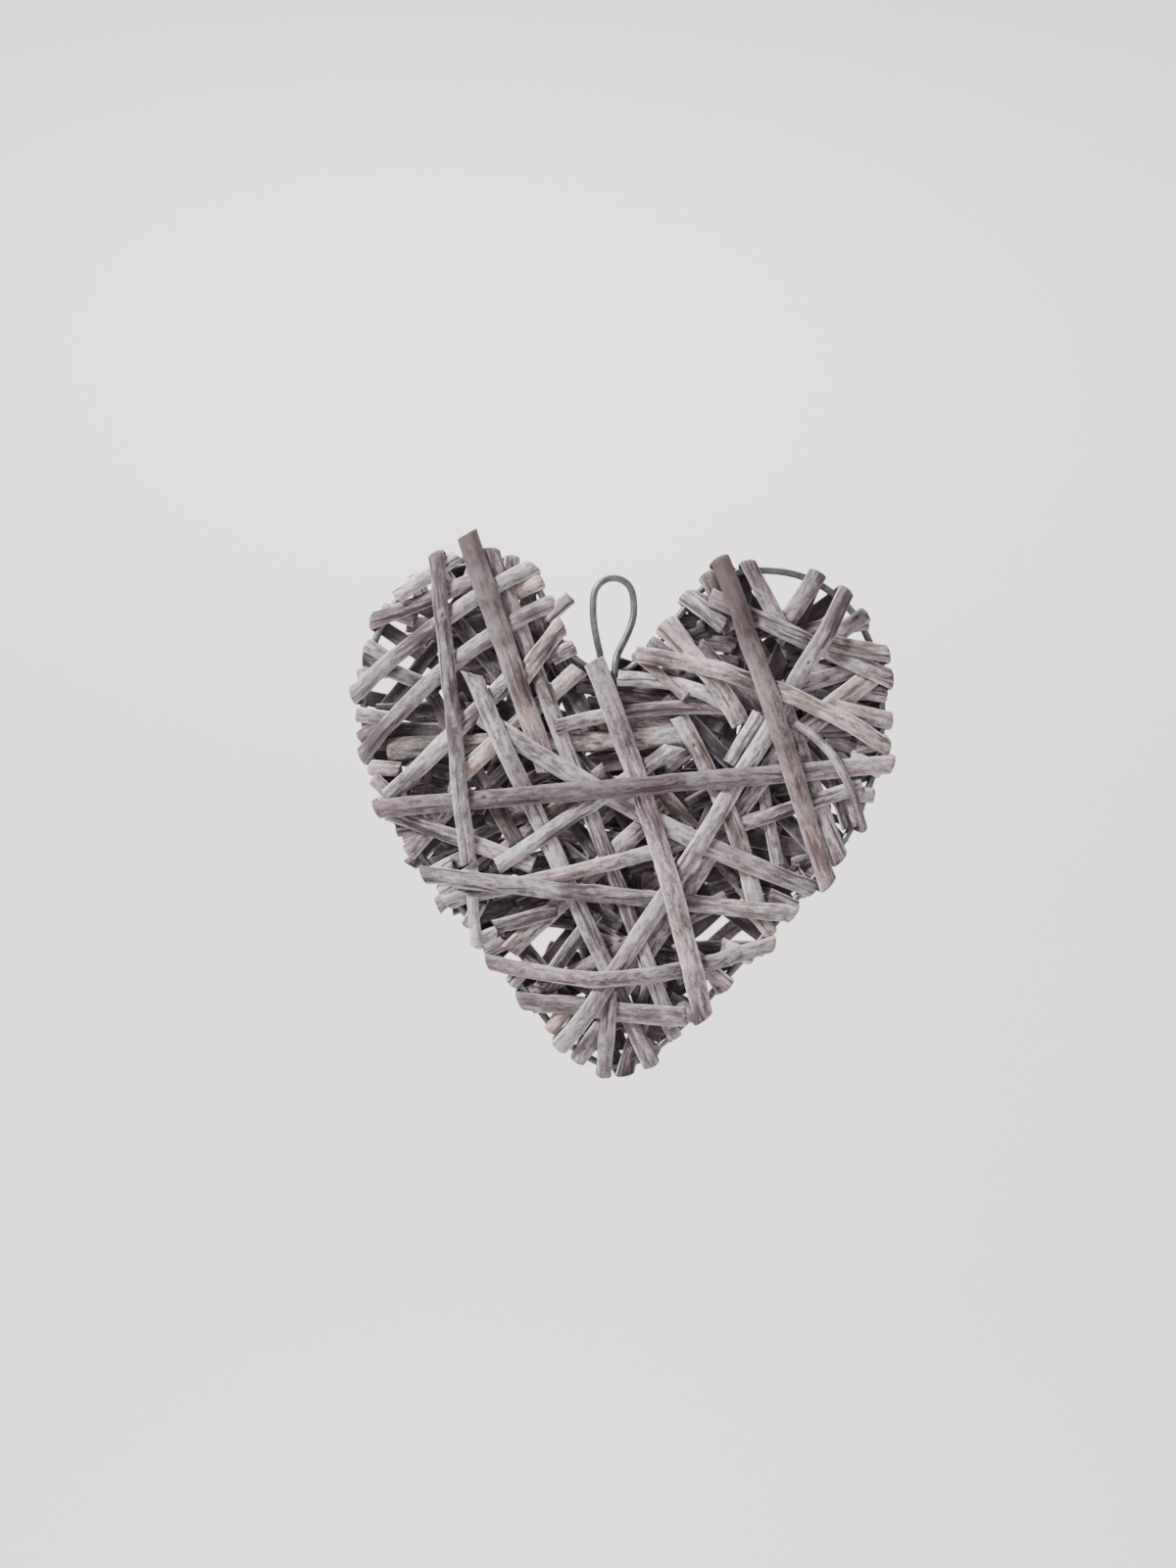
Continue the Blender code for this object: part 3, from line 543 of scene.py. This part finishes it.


# How dark the splits that stand out in the photograph are, from their upper or left end to the other one.
# The rest are evenly a little dark, a tone of their own; the tucks deep inside are darker still, which is
# painted shade in the deep gaps.
FRONT, DEEP_PAINTED_SHADE = (0, 0.22), (0.28, 0.70)
SHADES = {
    "long_cross": (0.56, 0.56, 0.70, 0.78, 0.68, 0.70, 0.30, 0.12),
    "right_upright": (1.00, 0.94, 0.84, 0.60, 0.74, 0.62, 0.46, 0.34),
    "proud_upright": (0.94, 0.82, 0.68, 0.46, 0.16),
    "left_upright": (0.66, 0.45, 0.40, 0.32),
    "broad_upright": (0.52, 0.34, 0.12, 0.10, 0.12, 0.26),
    "low_cross": (0.06, 0.40, 0.40, 0.32, 0.34, 0.12, 0.02),
    "low_bow": (0.60, 0.34, 0.28, 0.48, 0.38, 0.28),
    "point_cross": (0.42, 0.36, 0.18),
    "point_upright": (0.28, 0.48),
    "long_right_fall": (0.58, 0.34, 0.08, 0.14, 0.30, 0.26, 0.22),
    "long_centre_fall": (0.30, 0.24, 0.02, 0.28, 0.36, 0.24),
    "long_left_fall": (0.50, 0.28, 0.18, 0.28),
    "middle_fall": (0.28, 0.14, 0.28, 0.34, 0.22),
    "centre_rise": (0.28, 0.22, 0.12),
    "left_long_rise": (0.42, 0.42, 0.34, 0.32),
    "top_left_rise": (0.40, 0.42, 0.28, 0.10),
    "left_shoulder": (0.30, 0.34),
    "right_top_cross": (0.55, 0.40, 0.12),
    "right_top_drop": (0.60, 0.22),
    "right_top_slant": (0.50, 0.30),
    "right_inner_drop": (0.55, 0.35),
    "right_bow": (0.04, 0.14, 0.02, 0.06, 0.02),
    "right_curl": (0.30, 0.55),
    "right_cross_end": (0.40, 0.20),
    "right_shoulder": (0.20, 0.00),
    "knotted_fall": (0.15, 0.05),
    "notch_slant": (0.05, 0.20),
    "low_cross_rise": (0.30, 0.15),
    "rod": (0.42, 0.30, 0.08, 0.02, 0.10),
}


def shade(mesh, name):
    """Darkens a split from end to end by a point attribute from 0 to 1."""
    # The tucks deep inside take the darker range: painted shade in the deep gaps.
    evenly = DEEP_PAINTED_SHADE if name.startswith("inner") else FRONT
    rng = np.random.default_rng(zlib.crc32(name.encode()) + 21)
    values = SHADES.get(name.removesuffix("_split"), rng.uniform(*evenly, 2))
    points = np.array([vertex.co for vertex in mesh.vertices])
    front = points[points[:, 1] <= 0]
    if len(front) < len(ACROSS):
        front = points
    spread = np.ptp(front, axis=0)
    if spread[0] > spread[2]:
        share = (points[:, 0] - front[:, 0].min()) / spread[0]
    else:
        share = (front[:, 2].max() - points[:, 2]) / spread[2]
    point_attribute(mesh, "shade", np.interp(share, np.linspace(0, 1, len(values)), values))


def placed(name, mesh, material):
    """A mesh as a piece of the scene, smooth, with its faces turned outwards and its material on."""
    piece = bpy.data.objects.new(name, mesh)
    bpy.context.scene.collection.objects.link(piece)
    select_only(piece)
    bpy.ops.object.mode_set(mode="EDIT")
    bpy.ops.mesh.select_all(action="SELECT")
    bpy.ops.mesh.normals_make_consistent(inside=False)
    bpy.ops.object.mode_set(mode="OBJECT")
    bpy.ops.object.shade_smooth()
    piece.data.materials.append(material)
    return piece


def add_split(name, node_name, rings, material, knots=()):
    """Makes one split, in place of a CAD node if it has one."""
    mesh = split_mesh(name, rings, knots)
    shade(mesh, name)
    piece = placed(name, mesh, material)
    if node_name:
        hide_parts(node_name)
    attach(piece, "root")


# Each family of splits by the tones of its wood: body, warm patches, cool patches, dark streaks, whitewash,
# and how much of the whitewash is left.
TONES = {
    "grey": ((0.397, 0.345, 0.357), (0.446, 0.324, 0.302), (0.275, 0.266, 0.277),
             (0.054, 0.040, 0.047), 0.52),
    "violet": ((0.358, 0.290, 0.312), (0.400, 0.285, 0.270), (0.245, 0.211, 0.248),
               (0.047, 0.033, 0.042), 0.44),
    "white": ((0.515, 0.458, 0.488), (0.510, 0.392, 0.385), (0.330, 0.330, 0.362),
              (0.080, 0.063, 0.075), 0.70),
    "brown": ((0.300, 0.228, 0.217), (0.330, 0.213, 0.182), (0.204, 0.174, 0.188),
              (0.039, 0.026, 0.030), 0.38),
    "tan": ((0.460, 0.367, 0.334), (0.500, 0.346, 0.288), (0.312, 0.287, 0.282),
            (0.062, 0.042, 0.046), 0.48),
    "olive": ((0.270, 0.245, 0.218), (0.312, 0.240, 0.202), (0.176, 0.186, 0.177),
              (0.037, 0.032, 0.032), 0.40),
    "dark": ((0.112, 0.090, 0.104), (0.123, 0.088, 0.090), (0.073, 0.068, 0.081),
             (0.019, 0.014, 0.017), 0.16),
}
WHITEWASH = (0.795, 0.696, 0.762)
COLD_WASH = (0.722, 0.692, 0.735)
RELIEF_WEAR = 0.16            # how much more whitewash is left where the wood stands proud
FIBRE_RELIEF = 0.00020
CROWN_RELIEF = 0.0009         # how much rounder than its mesh a split's outer face is lit


def attribute(tree, name):
    """The value of one of the mesh's own point attributes."""
    node = tree.nodes.new("ShaderNodeAttribute")
    node.attribute_name = name
    return node.outputs["Fac"]


def willow(name):
    """Weathered willow under worn whitewash, its streaks running along the split by its own grain map."""
    body, warm, cool, streak, washed = TONES[name]
    material, tree, shader = new_material(name + "_willow")
    grain = tree.nodes.new("ShaderNodeUVMap")
    grain.uv_map = "grain"
    vector = grain.outputs[0]
    patches = noise(tree, vector, 1, 3, "patches", (42, 190, 1))
    drift = noise(tree, vector, 1, 2, "drift", (23, 80, 1))
    smudges = noise(tree, vector, 1, 4, "smudges", (30, 170, 1))
    mottle = noise(tree, vector, 1, 6, "mottle", (330, 560, 1))
    streaks = noise(tree, vector, 1, 5, "streaks", (105, 820, 1))
    fibres = noise(tree, vector, 1, 4, "fibres", (260, 4300, 1))
    flecks = noise(tree, vector, 1, 3, "flecks", (820, 1900, 1))
    wash = noise(tree, vector, 1, 6, "wash", (170, 560, 1))
    pits = noise(tree, vector, 1, 2, "pits", (620, 1300, 1))
    relief, arris = attribute(tree, "relief"), attribute(tree, "arris")
    inner, shaded = attribute(tree, "inner"), attribute(tree, "shade")
    wood = mix(tree, ramp(tree, patches, (0.38, 0.0), (0.62, 1.0)), body, warm)
    wood = mix(tree, ramp(tree, drift, (0.40, 0.0), (0.60, 0.9)), wood, cool)
    wood = mix(tree, ramp(tree, mottle, (0.34, 0.62), (0.52, 0.0)), wood, streak)
    wood = mix(tree, ramp(tree, smudges, (0.33, 0.72), (0.54, 0.0)), wood, streak)
    wood = mix(tree, ramp(tree, streaks, (0.32, 0.60), (0.49, 0.0)), wood, streak)
    wood = mix(tree, ramp(tree, fibres, (0.32, 0.42), (0.52, 0.0)), wood, streak)
    worn = tree.nodes.new("ShaderNodeMath")
    worn.operation = "MULTIPLY_ADD"
    link(tree, (relief, worn.inputs[0]), (wash, worn.inputs[2]))
    worn.inputs[1].default_value = RELIEF_WEAR
    left = ramp(tree, worn.outputs[0], (0.60 - 0.10 * washed, 0.0), (0.72 - 0.10 * washed, washed))
    pale = mix(tree, ramp(tree, drift, (0.42, 0.0), (0.58, 1.0)), WHITEWASH, COLD_WASH)
    wood = mix(tree, left, wood, pale)
    wood = mix(tree, ramp(tree, flecks, (0.34, 0.55), (0.46, 0.0)), wood, streak)
    wood = mix(tree, ramp(tree, flecks, (0.60, 0.0), (0.74, 0.60)), wood, WHITEWASH)
    # Whitewash on the arrises: partly what is left there, partly a painted highlight along both edges.
    edges = mix(tree, 1.0, arris, ramp(tree, wash, (0.30, 0.15), (0.54, 1.0)), "MULTIPLY")
    wood = mix(tree, edges, wood, WHITEWASH)
    # Darker from end to end by the shade attribute: the wood's own tone, and on the deep tucks painted shade.
    wood = mix(tree, shaded, wood, streak)
    wood = mix(tree, ramp(tree, relief, (0.05, 0.85), (0.36, 0.0)), wood, streak)
    wood = mix(tree, ramp(tree, pits, (0.24, 0.9), (0.30, 0.0)), wood, streak)
    # The flat back darkened towards the streak colour: partly unwashed wood, partly painted shade.
    wood = mix(tree, ramp(tree, inner, (0.0, 0.0), (1.0, 0.85)), wood, streak)
    link(tree, (wood, shader.inputs["Base Color"]))
    link(tree, (ramp(tree, wash, (0.3, 0.88), (0.7, 0.66)), shader.inputs["Roughness"]))
    shader.inputs["Specular IOR Level"].default_value = 0.35
    rounded = bump(tree, shader, attribute(tree, "crown"), 1.0, CROWN_RELIEF)
    bump(tree, shader, mix(tree, 0.45, streaks, fibres), 0.40, FIBRE_RELIEF, rounded)
    return material


WILLOW = {name: willow(name) for name in TONES}
# The splits that show a knot: how far along the split it is in metres, how far across as a share, its radius.
KNOTS = {
    "knotted_fall": ((0.014, 0.55, 0.0013),),
    "long_cross": ((0.150, 0.40, 0.0016),),
    "broad_upright": ((0.060, 0.60, 0.0015),),
    "long_right_fall": ((0.190, 0.45, 0.0014),),
    "left_upright": ((0.105, 0.50, 0.0012),),
}
for part in frame["record"]["subparts"]:
    slot = part["material_slot"]
    if slot.endswith("_willow") and part["node"] != "centre_rod":
        node = part["node"]
        rings = rings_of(frame["nodes"][node])
        material = WILLOW[slot.removesuffix("_willow")]
        add_split(node + "_split", node, rings, material, KNOTS.get(node, ()))


# The rod: a whole thin willow rod with its bark off, lying across the left lobe inside the wire. It is
# round, a little crooked, and as weathered as the splits.
ROD_COLUMNS = 28
ROD_SEED = 77
ROD_TURN = 0.004              # length around the rod to a radian, for its grain
ROD_GRAIN_STEP = 0.0009       # length around the rod to one column, for its streaks
ROD_CROOK = 0.0004
ROD_CROOK_CELL = 0.03
ROD_END = 0.001               # length over which its ends are rounded
ROD_GIRTHS = (0.80, 0.97, 0.84, 0.70)
ROD_CAPS = (0.3, 0.8)


def rod_mesh(node):
    """A round rod along the longest axis of its CAD solid, thinner towards its ends."""
    corners = np.array([vertex.co for vertex in node.data.vertices])
    middle = corners.mean(axis=0)
    axes = np.linalg.svd(corners - middle, full_matrices=False)[2]
    reach = (corners - middle) @ axes.T
    low, high = reach.min(axis=0), reach.max(axis=0)
    along = np.arange(low[0], high[0], STATION_STEP)
    turn = np.linspace(0, 2 * np.pi, ROD_COLUMNS, endpoint=False)
    slim = np.interp(along, (low[0], low[0] + ROD_END, high[0] - ROD_END, high[0]), ROD_GIRTHS)
    length, around = np.meshgrid(along - low[0], turn * ROD_TURN, indexing="ij")
    relief = relief_of(ROD_SEED, length, around, ())
    wide = (high[1] * slim)[:, None] + relief
    deep = (high[2] * slim)[:, None] + relief
    crook = ROD_CROOK * lattice(5, along / ROD_CROOK_CELL, along * 0)[:, None]
    points = middle + axes[0] * along[:, None, None]
    points = points + axes[1] * (wide * np.cos(turn) + crook)[..., None]
    points = points + axes[2] * (deep * np.sin(turn))[..., None]
    ends = [points[end].mean(axis=0) for end in (0, -1)]
    first = [ends[0] + (points[0] - ends[0]) * share for share in ROD_CAPS]
    last = [ends[1] + (points[-1] - ends[1]) * share for share in reversed(ROD_CAPS)]
    points = np.concatenate((first, points, last))
    length = np.concatenate((length[:1], length[:1], length, length[-1:], length[-1:]))
    relief = np.concatenate((relief[:1], relief[:1], relief, relief[-1:], relief[-1:]))
    faces, grain = tube(points, length, np.arange(ROD_COLUMNS + 1) * ROD_GRAIN_STEP)
    faces.append(tuple(range(ROD_COLUMNS)))
    faces.append(tuple(len(points) * ROD_COLUMNS - 1 - column for column in range(ROD_COLUMNS)))
    grain += [(0.1, 0.1)] * (2 * ROD_COLUMNS)
    mesh = grained_mesh("rod", points.reshape(-1, 3), faces, grain)
    point_attribute(mesh, "relief", 0.5 + relief.ravel() / (4 * GRAIN))
    for attribute_name in ("arris", "inner", "crown"):
        point_attribute(mesh, attribute_name, np.zeros(len(mesh.vertices)))
    shade(mesh, "rod")
    return mesh


rod = placed("whole_rod", rod_mesh(frame["nodes"]["centre_rod"]), WILLOW["olive"])
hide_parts("centre_rod")
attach(rod, "root")


# The innermost tucks: straight short splits pushed in between the front ones and the rear ones. They show
# only deep in the gaps, as dark wood that is partly painted shade. Each is given by its two ends, in
# hundredths of the wire's width and height from its upper left corner, and by how far behind the wire's plane
# it lies.
TUCK_THICKNESS = 0.0014
TUCK_HALF_WIDTH = 0.45        # as a share of the width of a long split
TUCK_SECTIONS = 7
TUCK_LAYER = 0.0018
# The deep tucks take the darkest tones: partly the wood's own tone, partly painted shade in the deep gaps.
SHADOWED_TUCK_TONES = ("dark", "brown", "dark", "violet", "dark")
STEEPEST_BOW = 0.14           # how far a tuck may be bowed back, as a share of its length
TUCKS = (
    ((9, 60), (36, 33), 0), ((14, 68), (47, 41), 1), ((22, 70), (60, 52), 2), ((30, 86), (70, 66), 0),
    ((9, 40), (46, 62), 3), ((30, 24), (62, 66), 2), ((45, 31), (78, 70), 1), ((58, 27), (90, 60), 0),
    ((64, 17), (92, 46), 1), ((40, 92), (62, 60), 3), ((16, 10), (44, 44), 1), ((12, 24), (30, 56), 0),
    ((50, 96), (38, 62), 2), ((26, 8), (18, 46), 3), ((60, 22), (84, 20), 4), ((48, 44), (90, 48), 4),
    ((31, 6), (44, 38), 3), ((37, 16), (22, 50), 4), ((6, 46), (34, 62), 4), ((24, 50), (52, 62), 5),
    ((41, 50), (64, 54), 4), ((44, 74), (60, 60), 5), ((57, 84), (52, 62), 4), ((60, 82), (84, 62), 4),
    ((56, 40), (70, 56), 5), ((56, 22), (68, 38), 3), ((68, 54), (88, 62), 5), ((76, 36), (92, 56), 3),
    ((84, 26), (95, 50), 2), ((30, 60), (50, 72), 4), ((8, 30), (20, 34), 2), ((20, 30), (38, 28), 5),
    ((60, 76), (77, 76), 2), ((46, 64), (54, 88), 5), ((40, 34), (58, 42), 4), ((16, 54), (30, 72), 5),
    ((41, 25), (62, 27.5), 2), ((43, 28.5), (64, 30.5), 3), ((48, 31.5), (60, 33), 1),
    ((3, 33.5), (22, 34), 1),
    ((60, 12.5), (73, 14), 1), ((60, 16), (72, 17.5), 2), ((60, 19), (72, 21), 3), ((37, 53.5), (50, 55), 2),
    ((37, 20), (45, 34), 1), ((42, 21), (50, 34), 2), ((8, 45), (23, 43), 2), ((24, 61.5), (40, 57), 3),
    ((52, 90), (60, 93), 1), ((57, 84.5), (69, 79), 2), ((16, 25), (26, 31), 2), ((44, 72), (52, 76), 3),
    ((14, 16), (25, 18), 3), ((17, 20), (30, 26), 4), ((74, 46), (84, 44), 3), ((21, 72.5), (31, 69), 2),
    ((71, 48.5), (80, 54), 2), ((65, 61.5), (80, 64.5), 2), ((88, 35), (98, 38), 1), ((16, 4), (27, 2), 2),
    ((17, 12), (29, 9), 3), ((55, 77), (65, 79), 3), ((33, 70), (42, 71), 3), ((10, 9), (18, 13), 2),
    ((39, 81), (47, 86), 2), ((11, 40.5), (20, 43), 1), ((57, 22), (64, 24.5), 1), ((33, 59), (40, 60.5), 2),
    ((19, 62.5), (37, 51.5), 4), ((13, 60), (33, 54.5), 5), ((36, 86), (46, 81.5), 2), ((3, 44), (14, 42), 2),
    ((10, 47), (20, 44.5), 3), ((2, 36), (18, 36.8), 2), ((3, 30), (14, 29.5), 1), ((18, 27), (25, 36.5), 3),
    ((18, 21.5), (30, 17.5), 3), ((30, 14), (36, 18), 2), ((38, 17), (42, 25), 3),
    ((60, 16.2), (66, 13.5), 2), ((72, 16), (80, 13.5), 2), ((80, 19), (90, 14), 3),
    ((92, 30.5), (99, 28), 2), ((90, 44.5), (98, 41.5), 2),
    ((62, 31), (70, 33), 4), ((62, 48.5), (68, 45.5), 4), ((72, 50), (78, 47.5), 4), ((40, 51), (45, 58), 4),
    ((30, 44.5), (36, 41.5), 4), ((49, 21), (55, 23), 4), ((51, 60), (57, 58), 4), ((30, 68), (37, 65.5), 4),
    ((58, 85.5), (71, 78), 3), ((48, 90.5), (58, 93), 2), ((66, 65), (73, 63), 3), ((17, 68), (24, 66), 2),
    ((44, 74), (50, 76), 3), ((82, 60), (89, 58), 3),
)
# The paler ones, which come near enough to the front of the right lobe to catch the light.
PALE_TUCKS = (
    ((83, 21.5), (98, 25), 0), ((84, 26), (98, 31), 1), ((80, 30), (97, 20), 2), ((86, 33.5), (99, 33), 0),
    ((81, 16), (91, 13), 1), ((85, 22.5), (93, 20), 2),
)
low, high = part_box("wire_frame")


def in_wire(x, z):
    """A point in the wire's plane from hundredths of the wire's width and height."""
    return Vector((low.x + (high.x - low.x) * x / 100, 0, high.z + (low.z - high.z) * z / 100))


def section_at(middle, outward, aside, thickness):
    """The corners of a tuck's section: back left, back right, front right and front left."""
    back, front = middle - outward * thickness / 2, middle + outward * thickness / 2
    return back - aside, back + aside, front + aside, front - aside


for number, (start, end, layer) in enumerate(TUCKS + PALE_TUCKS):
    ends = [in_wire(*place) for place in (start, end)]
    length = (ends[1] - ends[0]).length
    outward = Vector((0, -1, 0))
    aside = (ends[1] - ends[0]).cross(outward).normalized() * SPLIT_WIDTH * TUCK_HALF_WIDTH
    bow = min(layer * TUCK_LAYER, STEEPEST_BOW * length)
    rings = []
    for share in np.linspace(0, 1, TUCK_SECTIONS):
        middle = ends[0].lerp(ends[1], share) - outward * bow * sin(np.pi * share)
        rings.append(section_at(middle, outward, aside, TUCK_THICKNESS))
    tone = SHADOWED_TUCK_TONES[number % len(SHADOWED_TUCK_TONES)] if number < len(TUCKS) else "grey"
    add_split(f"inner_tuck_{number + 1}", None, np.array(rings), WILLOW[tone])


# The edge tucks: short splits bent round the wire between the long ones, both ends pushed into the middle.
# Each is given by its place on the wire, in the same hundredths, how far it is turned from square to the
# wire, in degrees, the lengths of its front and rear legs in millimetres, and its tone.
EDGE_TUCK_WIDTH = 0.0066
EDGE_TUCK_THICKNESS = 0.0016
EDGE_TUCK_GAP = 0.0002
EDGE_TUCK_ANGLES = [radians(angle) for angle in (-60, -30, 0, 30, 60)]
EDGE_TUCK_BULGE = 1.1         # how far round the wire a tuck stands off, as a share of the closest fit
EDGE_TUCK_FOOT = 0.0012       # how far inside the wire its legs begin to run straight
LEG_DEPTHS = 0.8, 0.35        # how deep the middles and the ends of its legs lie, as shares of that fit
RUN_REACH = 0.009             # how much of the wire its direction is taken from
NEAR_REACH = 0.0035           # and how much of it the middle of its section
INSIDE = 50, 42               # a place well inside the heart
EDGE_TUCKS = (
    ((1.5, 17), 15, 13, 10, "grey"), ((0.8, 23.5), -20, 12, 14, "violet"), ((0.6, 31), 10, 12, 9, "grey"),
    ((1, 35), -25, 10, 13, "brown"), ((3, 41), 20, 11, 12, "grey"), ((6, 46.5), -10, 9, 13, "white"),
    ((8, 52.5), 25, 12, 10, "grey"), ((11, 56), -15, 13, 12, "white"), ((14.5, 61.5), 10, 9, 14, "white"),
    ((18, 66), 0, 10, 9, "white"), ((21, 70.5), -25, 9, 12, "grey"), ((25, 76), 15, 8, 12, "violet"),
    ((29.5, 82), -10, 10, 12, "grey"), ((34, 87), 20, 9, 10, "violet"), ((37.5, 90.5), -15, 9, 9, "tan"),
    ((43, 95.5), 10, 9, 8, "grey"), ((56, 95), -20, 9, 10, "violet"), ((59.5, 92), 15, 9, 9, "grey"),
    ((63, 88.5), -10, 9, 12, "grey"), ((69, 83), 20, 10, 10, "violet"),
    ((73.5, 77.5), -20, 11, 12, "white"), ((78, 72), 10, 12, 9, "tan"), ((82.5, 67), -15, 11, 12, "violet"),
    ((85, 64), 20, 9, 12, "grey"), ((90, 57), -10, 10, 12, "grey"), ((94, 51), 25, 10, 11, "violet"),
    ((96.5, 46), -15, 11, 10, "tan"), ((98, 41), 10, 12, 12, "white"), ((99, 35.5), -20, 12, 10, "tan"),
    ((99, 27), 15, 12, 12, "violet"), ((98.5, 21), -10, 10, 12, "tan"), ((96, 13), 20, 9, 10, "violet"),
    ((66, 4.5), 10, 10, 12, "dark"), ((62.5, 8), -20, 12, 9, "grey"), ((59, 13), 15, 11, 12, "white"),
    ((56, 17.5), -10, 9, 10, "white"), ((39.5, 18), 15, 9, 12, "violet"), ((36.5, 12), -20, 11, 10, "grey"),
    ((34, 6), 10, 12, 12, "tan"), ((29, 1.5), -15, 11, 11, "brown"), ((23, 0.5), 20, 11, 10, "dark"),
    ((14.5, 2), -10, 12, 12, "grey"), ((10, 5), 15, 12, 11, "white"), ((5, 11), -15, 12, 12, "grey"),
    ((15.8, 64), 5, 17, 12, "white"), ((23, 73.5), 20, 8, 10, "grey"), ((9.8, 54.2), 10, 10, 9, "grey"),
)
wire_points = np.array([vertex.co for vertex in heart_wire.data.vertices])
wire_points = wire_points[np.abs(wire_points[:, 1]) < WIRE_RADIUS * 1.1]


def wire_at(place):
    """The point of the wire that is nearest to a place, and the direction square to it and outwards."""
    nearest = wire_points[np.linalg.norm(wire_points - np.array(in_wire(*place)), axis=1).argmin()]
    distance = np.linalg.norm(wire_points - nearest, axis=1)
    around = wire_points[distance < RUN_REACH]
    near = wire_points[distance < NEAR_REACH].mean(axis=0)
    middle = Vector((near[0], 0, near[2]))
    run = Vector(np.linalg.svd(around - around.mean(axis=0), full_matrices=False)[2][0])
    run.y = 0
    square = run.normalized().cross(Vector((0, 1, 0)))
    return middle, -square if square.dot(middle - in_wire(*INSIDE)) < 0 else square


def leg_course(millimetres, side):
    """A leg from the wire inwards, each point by how far out it lies and its share of the full depth."""
    length = millimetres / 1000
    return [(-EDGE_TUCK_FOOT, side), (-length / 2, side * LEG_DEPTHS[0]), (-length, side * LEG_DEPTHS[1])]


for number, (place, turn, front_leg, rear_leg, tone) in enumerate(EDGE_TUCKS):
    middle, square = wire_at(place)
    outward = Matrix.Rotation(radians(turn), 3, "Y") @ square
    aside = outward.cross(Vector((0, 1, 0))) * EDGE_TUCK_WIDTH / 2
    reach = WIRE_RADIUS + EDGE_TUCK_GAP + EDGE_TUCK_THICKNESS / 2
    bend = [(reach * cos(angle) * EDGE_TUCK_BULGE, sin(angle)) for angle in EDGE_TUCK_ANGLES]
    course = leg_course(front_leg, -1)[::-1] + bend + leg_course(rear_leg, 1)
    centres = [middle + outward * far + Vector((0, depth * reach, 0)) for far, depth in course]
    rings = []
    for step, centre in enumerate(centres):
        ahead = centres[min(step + 1, len(centres) - 1)] - centres[max(step - 1, 0)]
        rings.append(section_at(centre, ahead.cross(aside).normalized(), aside, EDGE_TUCK_THICKNESS))
    add_split(f"edge_tuck_{number + 1}", None, np.array(rings), WILLOW[tone])


# The surround: a round room of pale matt paper, open above, its floor turned up into its wall.
PAPER_COLOUR = (0.84, 0.82, 0.815)
FLOOR_LEVEL = -1.05
ROOM_RADIUS = 2.6
ROOM_HEIGHT = 5.8
COVE_RADIUS = 0.9
bpy.ops.mesh.primitive_cylinder_add(vertices=96, radius=ROOM_RADIUS, depth=ROOM_HEIGHT)
room = bpy.context.object
room.name = "room"
room.data.transform(Matrix.Translation((0, 0, FLOOR_LEVEL + ROOM_HEIGHT / 2)))
work = bmesh.new()
work.from_mesh(room.data)
bmesh.ops.delete(work, geom=[face for face in work.faces if face.normal.z > 0.5], context="FACES_ONLY")
rim = [edge for edge in work.edges if max(vertex.co.z for vertex in edge.verts) < FLOOR_LEVEL + 0.01]
bmesh.ops.bevel(work, geom=rim, offset=COVE_RADIUS, segments=20, affect="EDGES", profile=0.5)
bmesh.ops.reverse_faces(work, faces=work.faces)
work.to_mesh(room.data)
work.free()
select_only(room)
bpy.ops.object.shade_smooth()
paper, tree, shader = new_material("pale_paper")
shader.inputs["Base Color"].default_value = (*PAPER_COLOUR, 1)
shader.inputs["Roughness"].default_value = 0.95
room.data.materials.append(paper)


# The light: a broad soft lamp in front, above and to the left, a weak one from the right, one above on the
# wall behind the heart, and a dim even sky.
def soft_light(name, place, target, size, power, colour):
    """A round area lamp aimed at a target."""
    bpy.ops.object.light_add(type="AREA", location=place)
    lamp = bpy.context.object
    lamp.name = name
    lamp.data.shape = "DISK"
    lamp.data.size = size
    lamp.data.energy = power
    lamp.data.color = colour
    lamp.rotation_euler = (Vector(target) - Vector(place)).to_track_quat("-Z", "Y").to_euler()


CENTRE = (-0.0104, 0, -0.0832)
soft_light("window", (-0.90, -0.75, 0.80), CENTRE, 0.40, 46, (1.0, 0.985, 0.97))
soft_light("fill", (0.9, -1.0, 0.1), CENTRE, 0.8, 0.9, (0.97, 0.97, 1.0))
soft_light("backdrop_light", (-0.2, 0.7, 1.3), (0, ROOM_RADIUS, -0.6), 1.8, 96, (1.0, 0.99, 0.985))
world = bpy.context.scene.world or bpy.data.worlds.new("sky")
bpy.context.scene.world = world
world.use_nodes = True
world.node_tree.nodes["Background"].inputs["Color"].default_value = (0.92, 0.95, 1.0, 1)
world.node_tree.nodes["Background"].inputs["Strength"].default_value = 0.06


# The camera: straight in front of the heart at half a metre, a little above its middle.
VIEW_DISTANCE = 0.505
VIEW_RISE = radians(2)
HALF_WIDTH = 0.24 / 0.5       # half of the picture's width over the distance
bpy.ops.object.camera_add()
camera = bpy.context.object
camera.location = Vector(CENTRE) + Vector((0, -cos(VIEW_RISE), sin(VIEW_RISE))) * VIEW_DISTANCE
camera.rotation_euler = (Vector(CENTRE) - camera.location).to_track_quat("-Z", "Y").to_euler()
camera.data.sensor_fit = "HORIZONTAL"
camera.data.angle_x = 2 * atan(HALF_WIDTH)
camera.data.clip_start = 0.01
bpy.context.scene.camera = camera
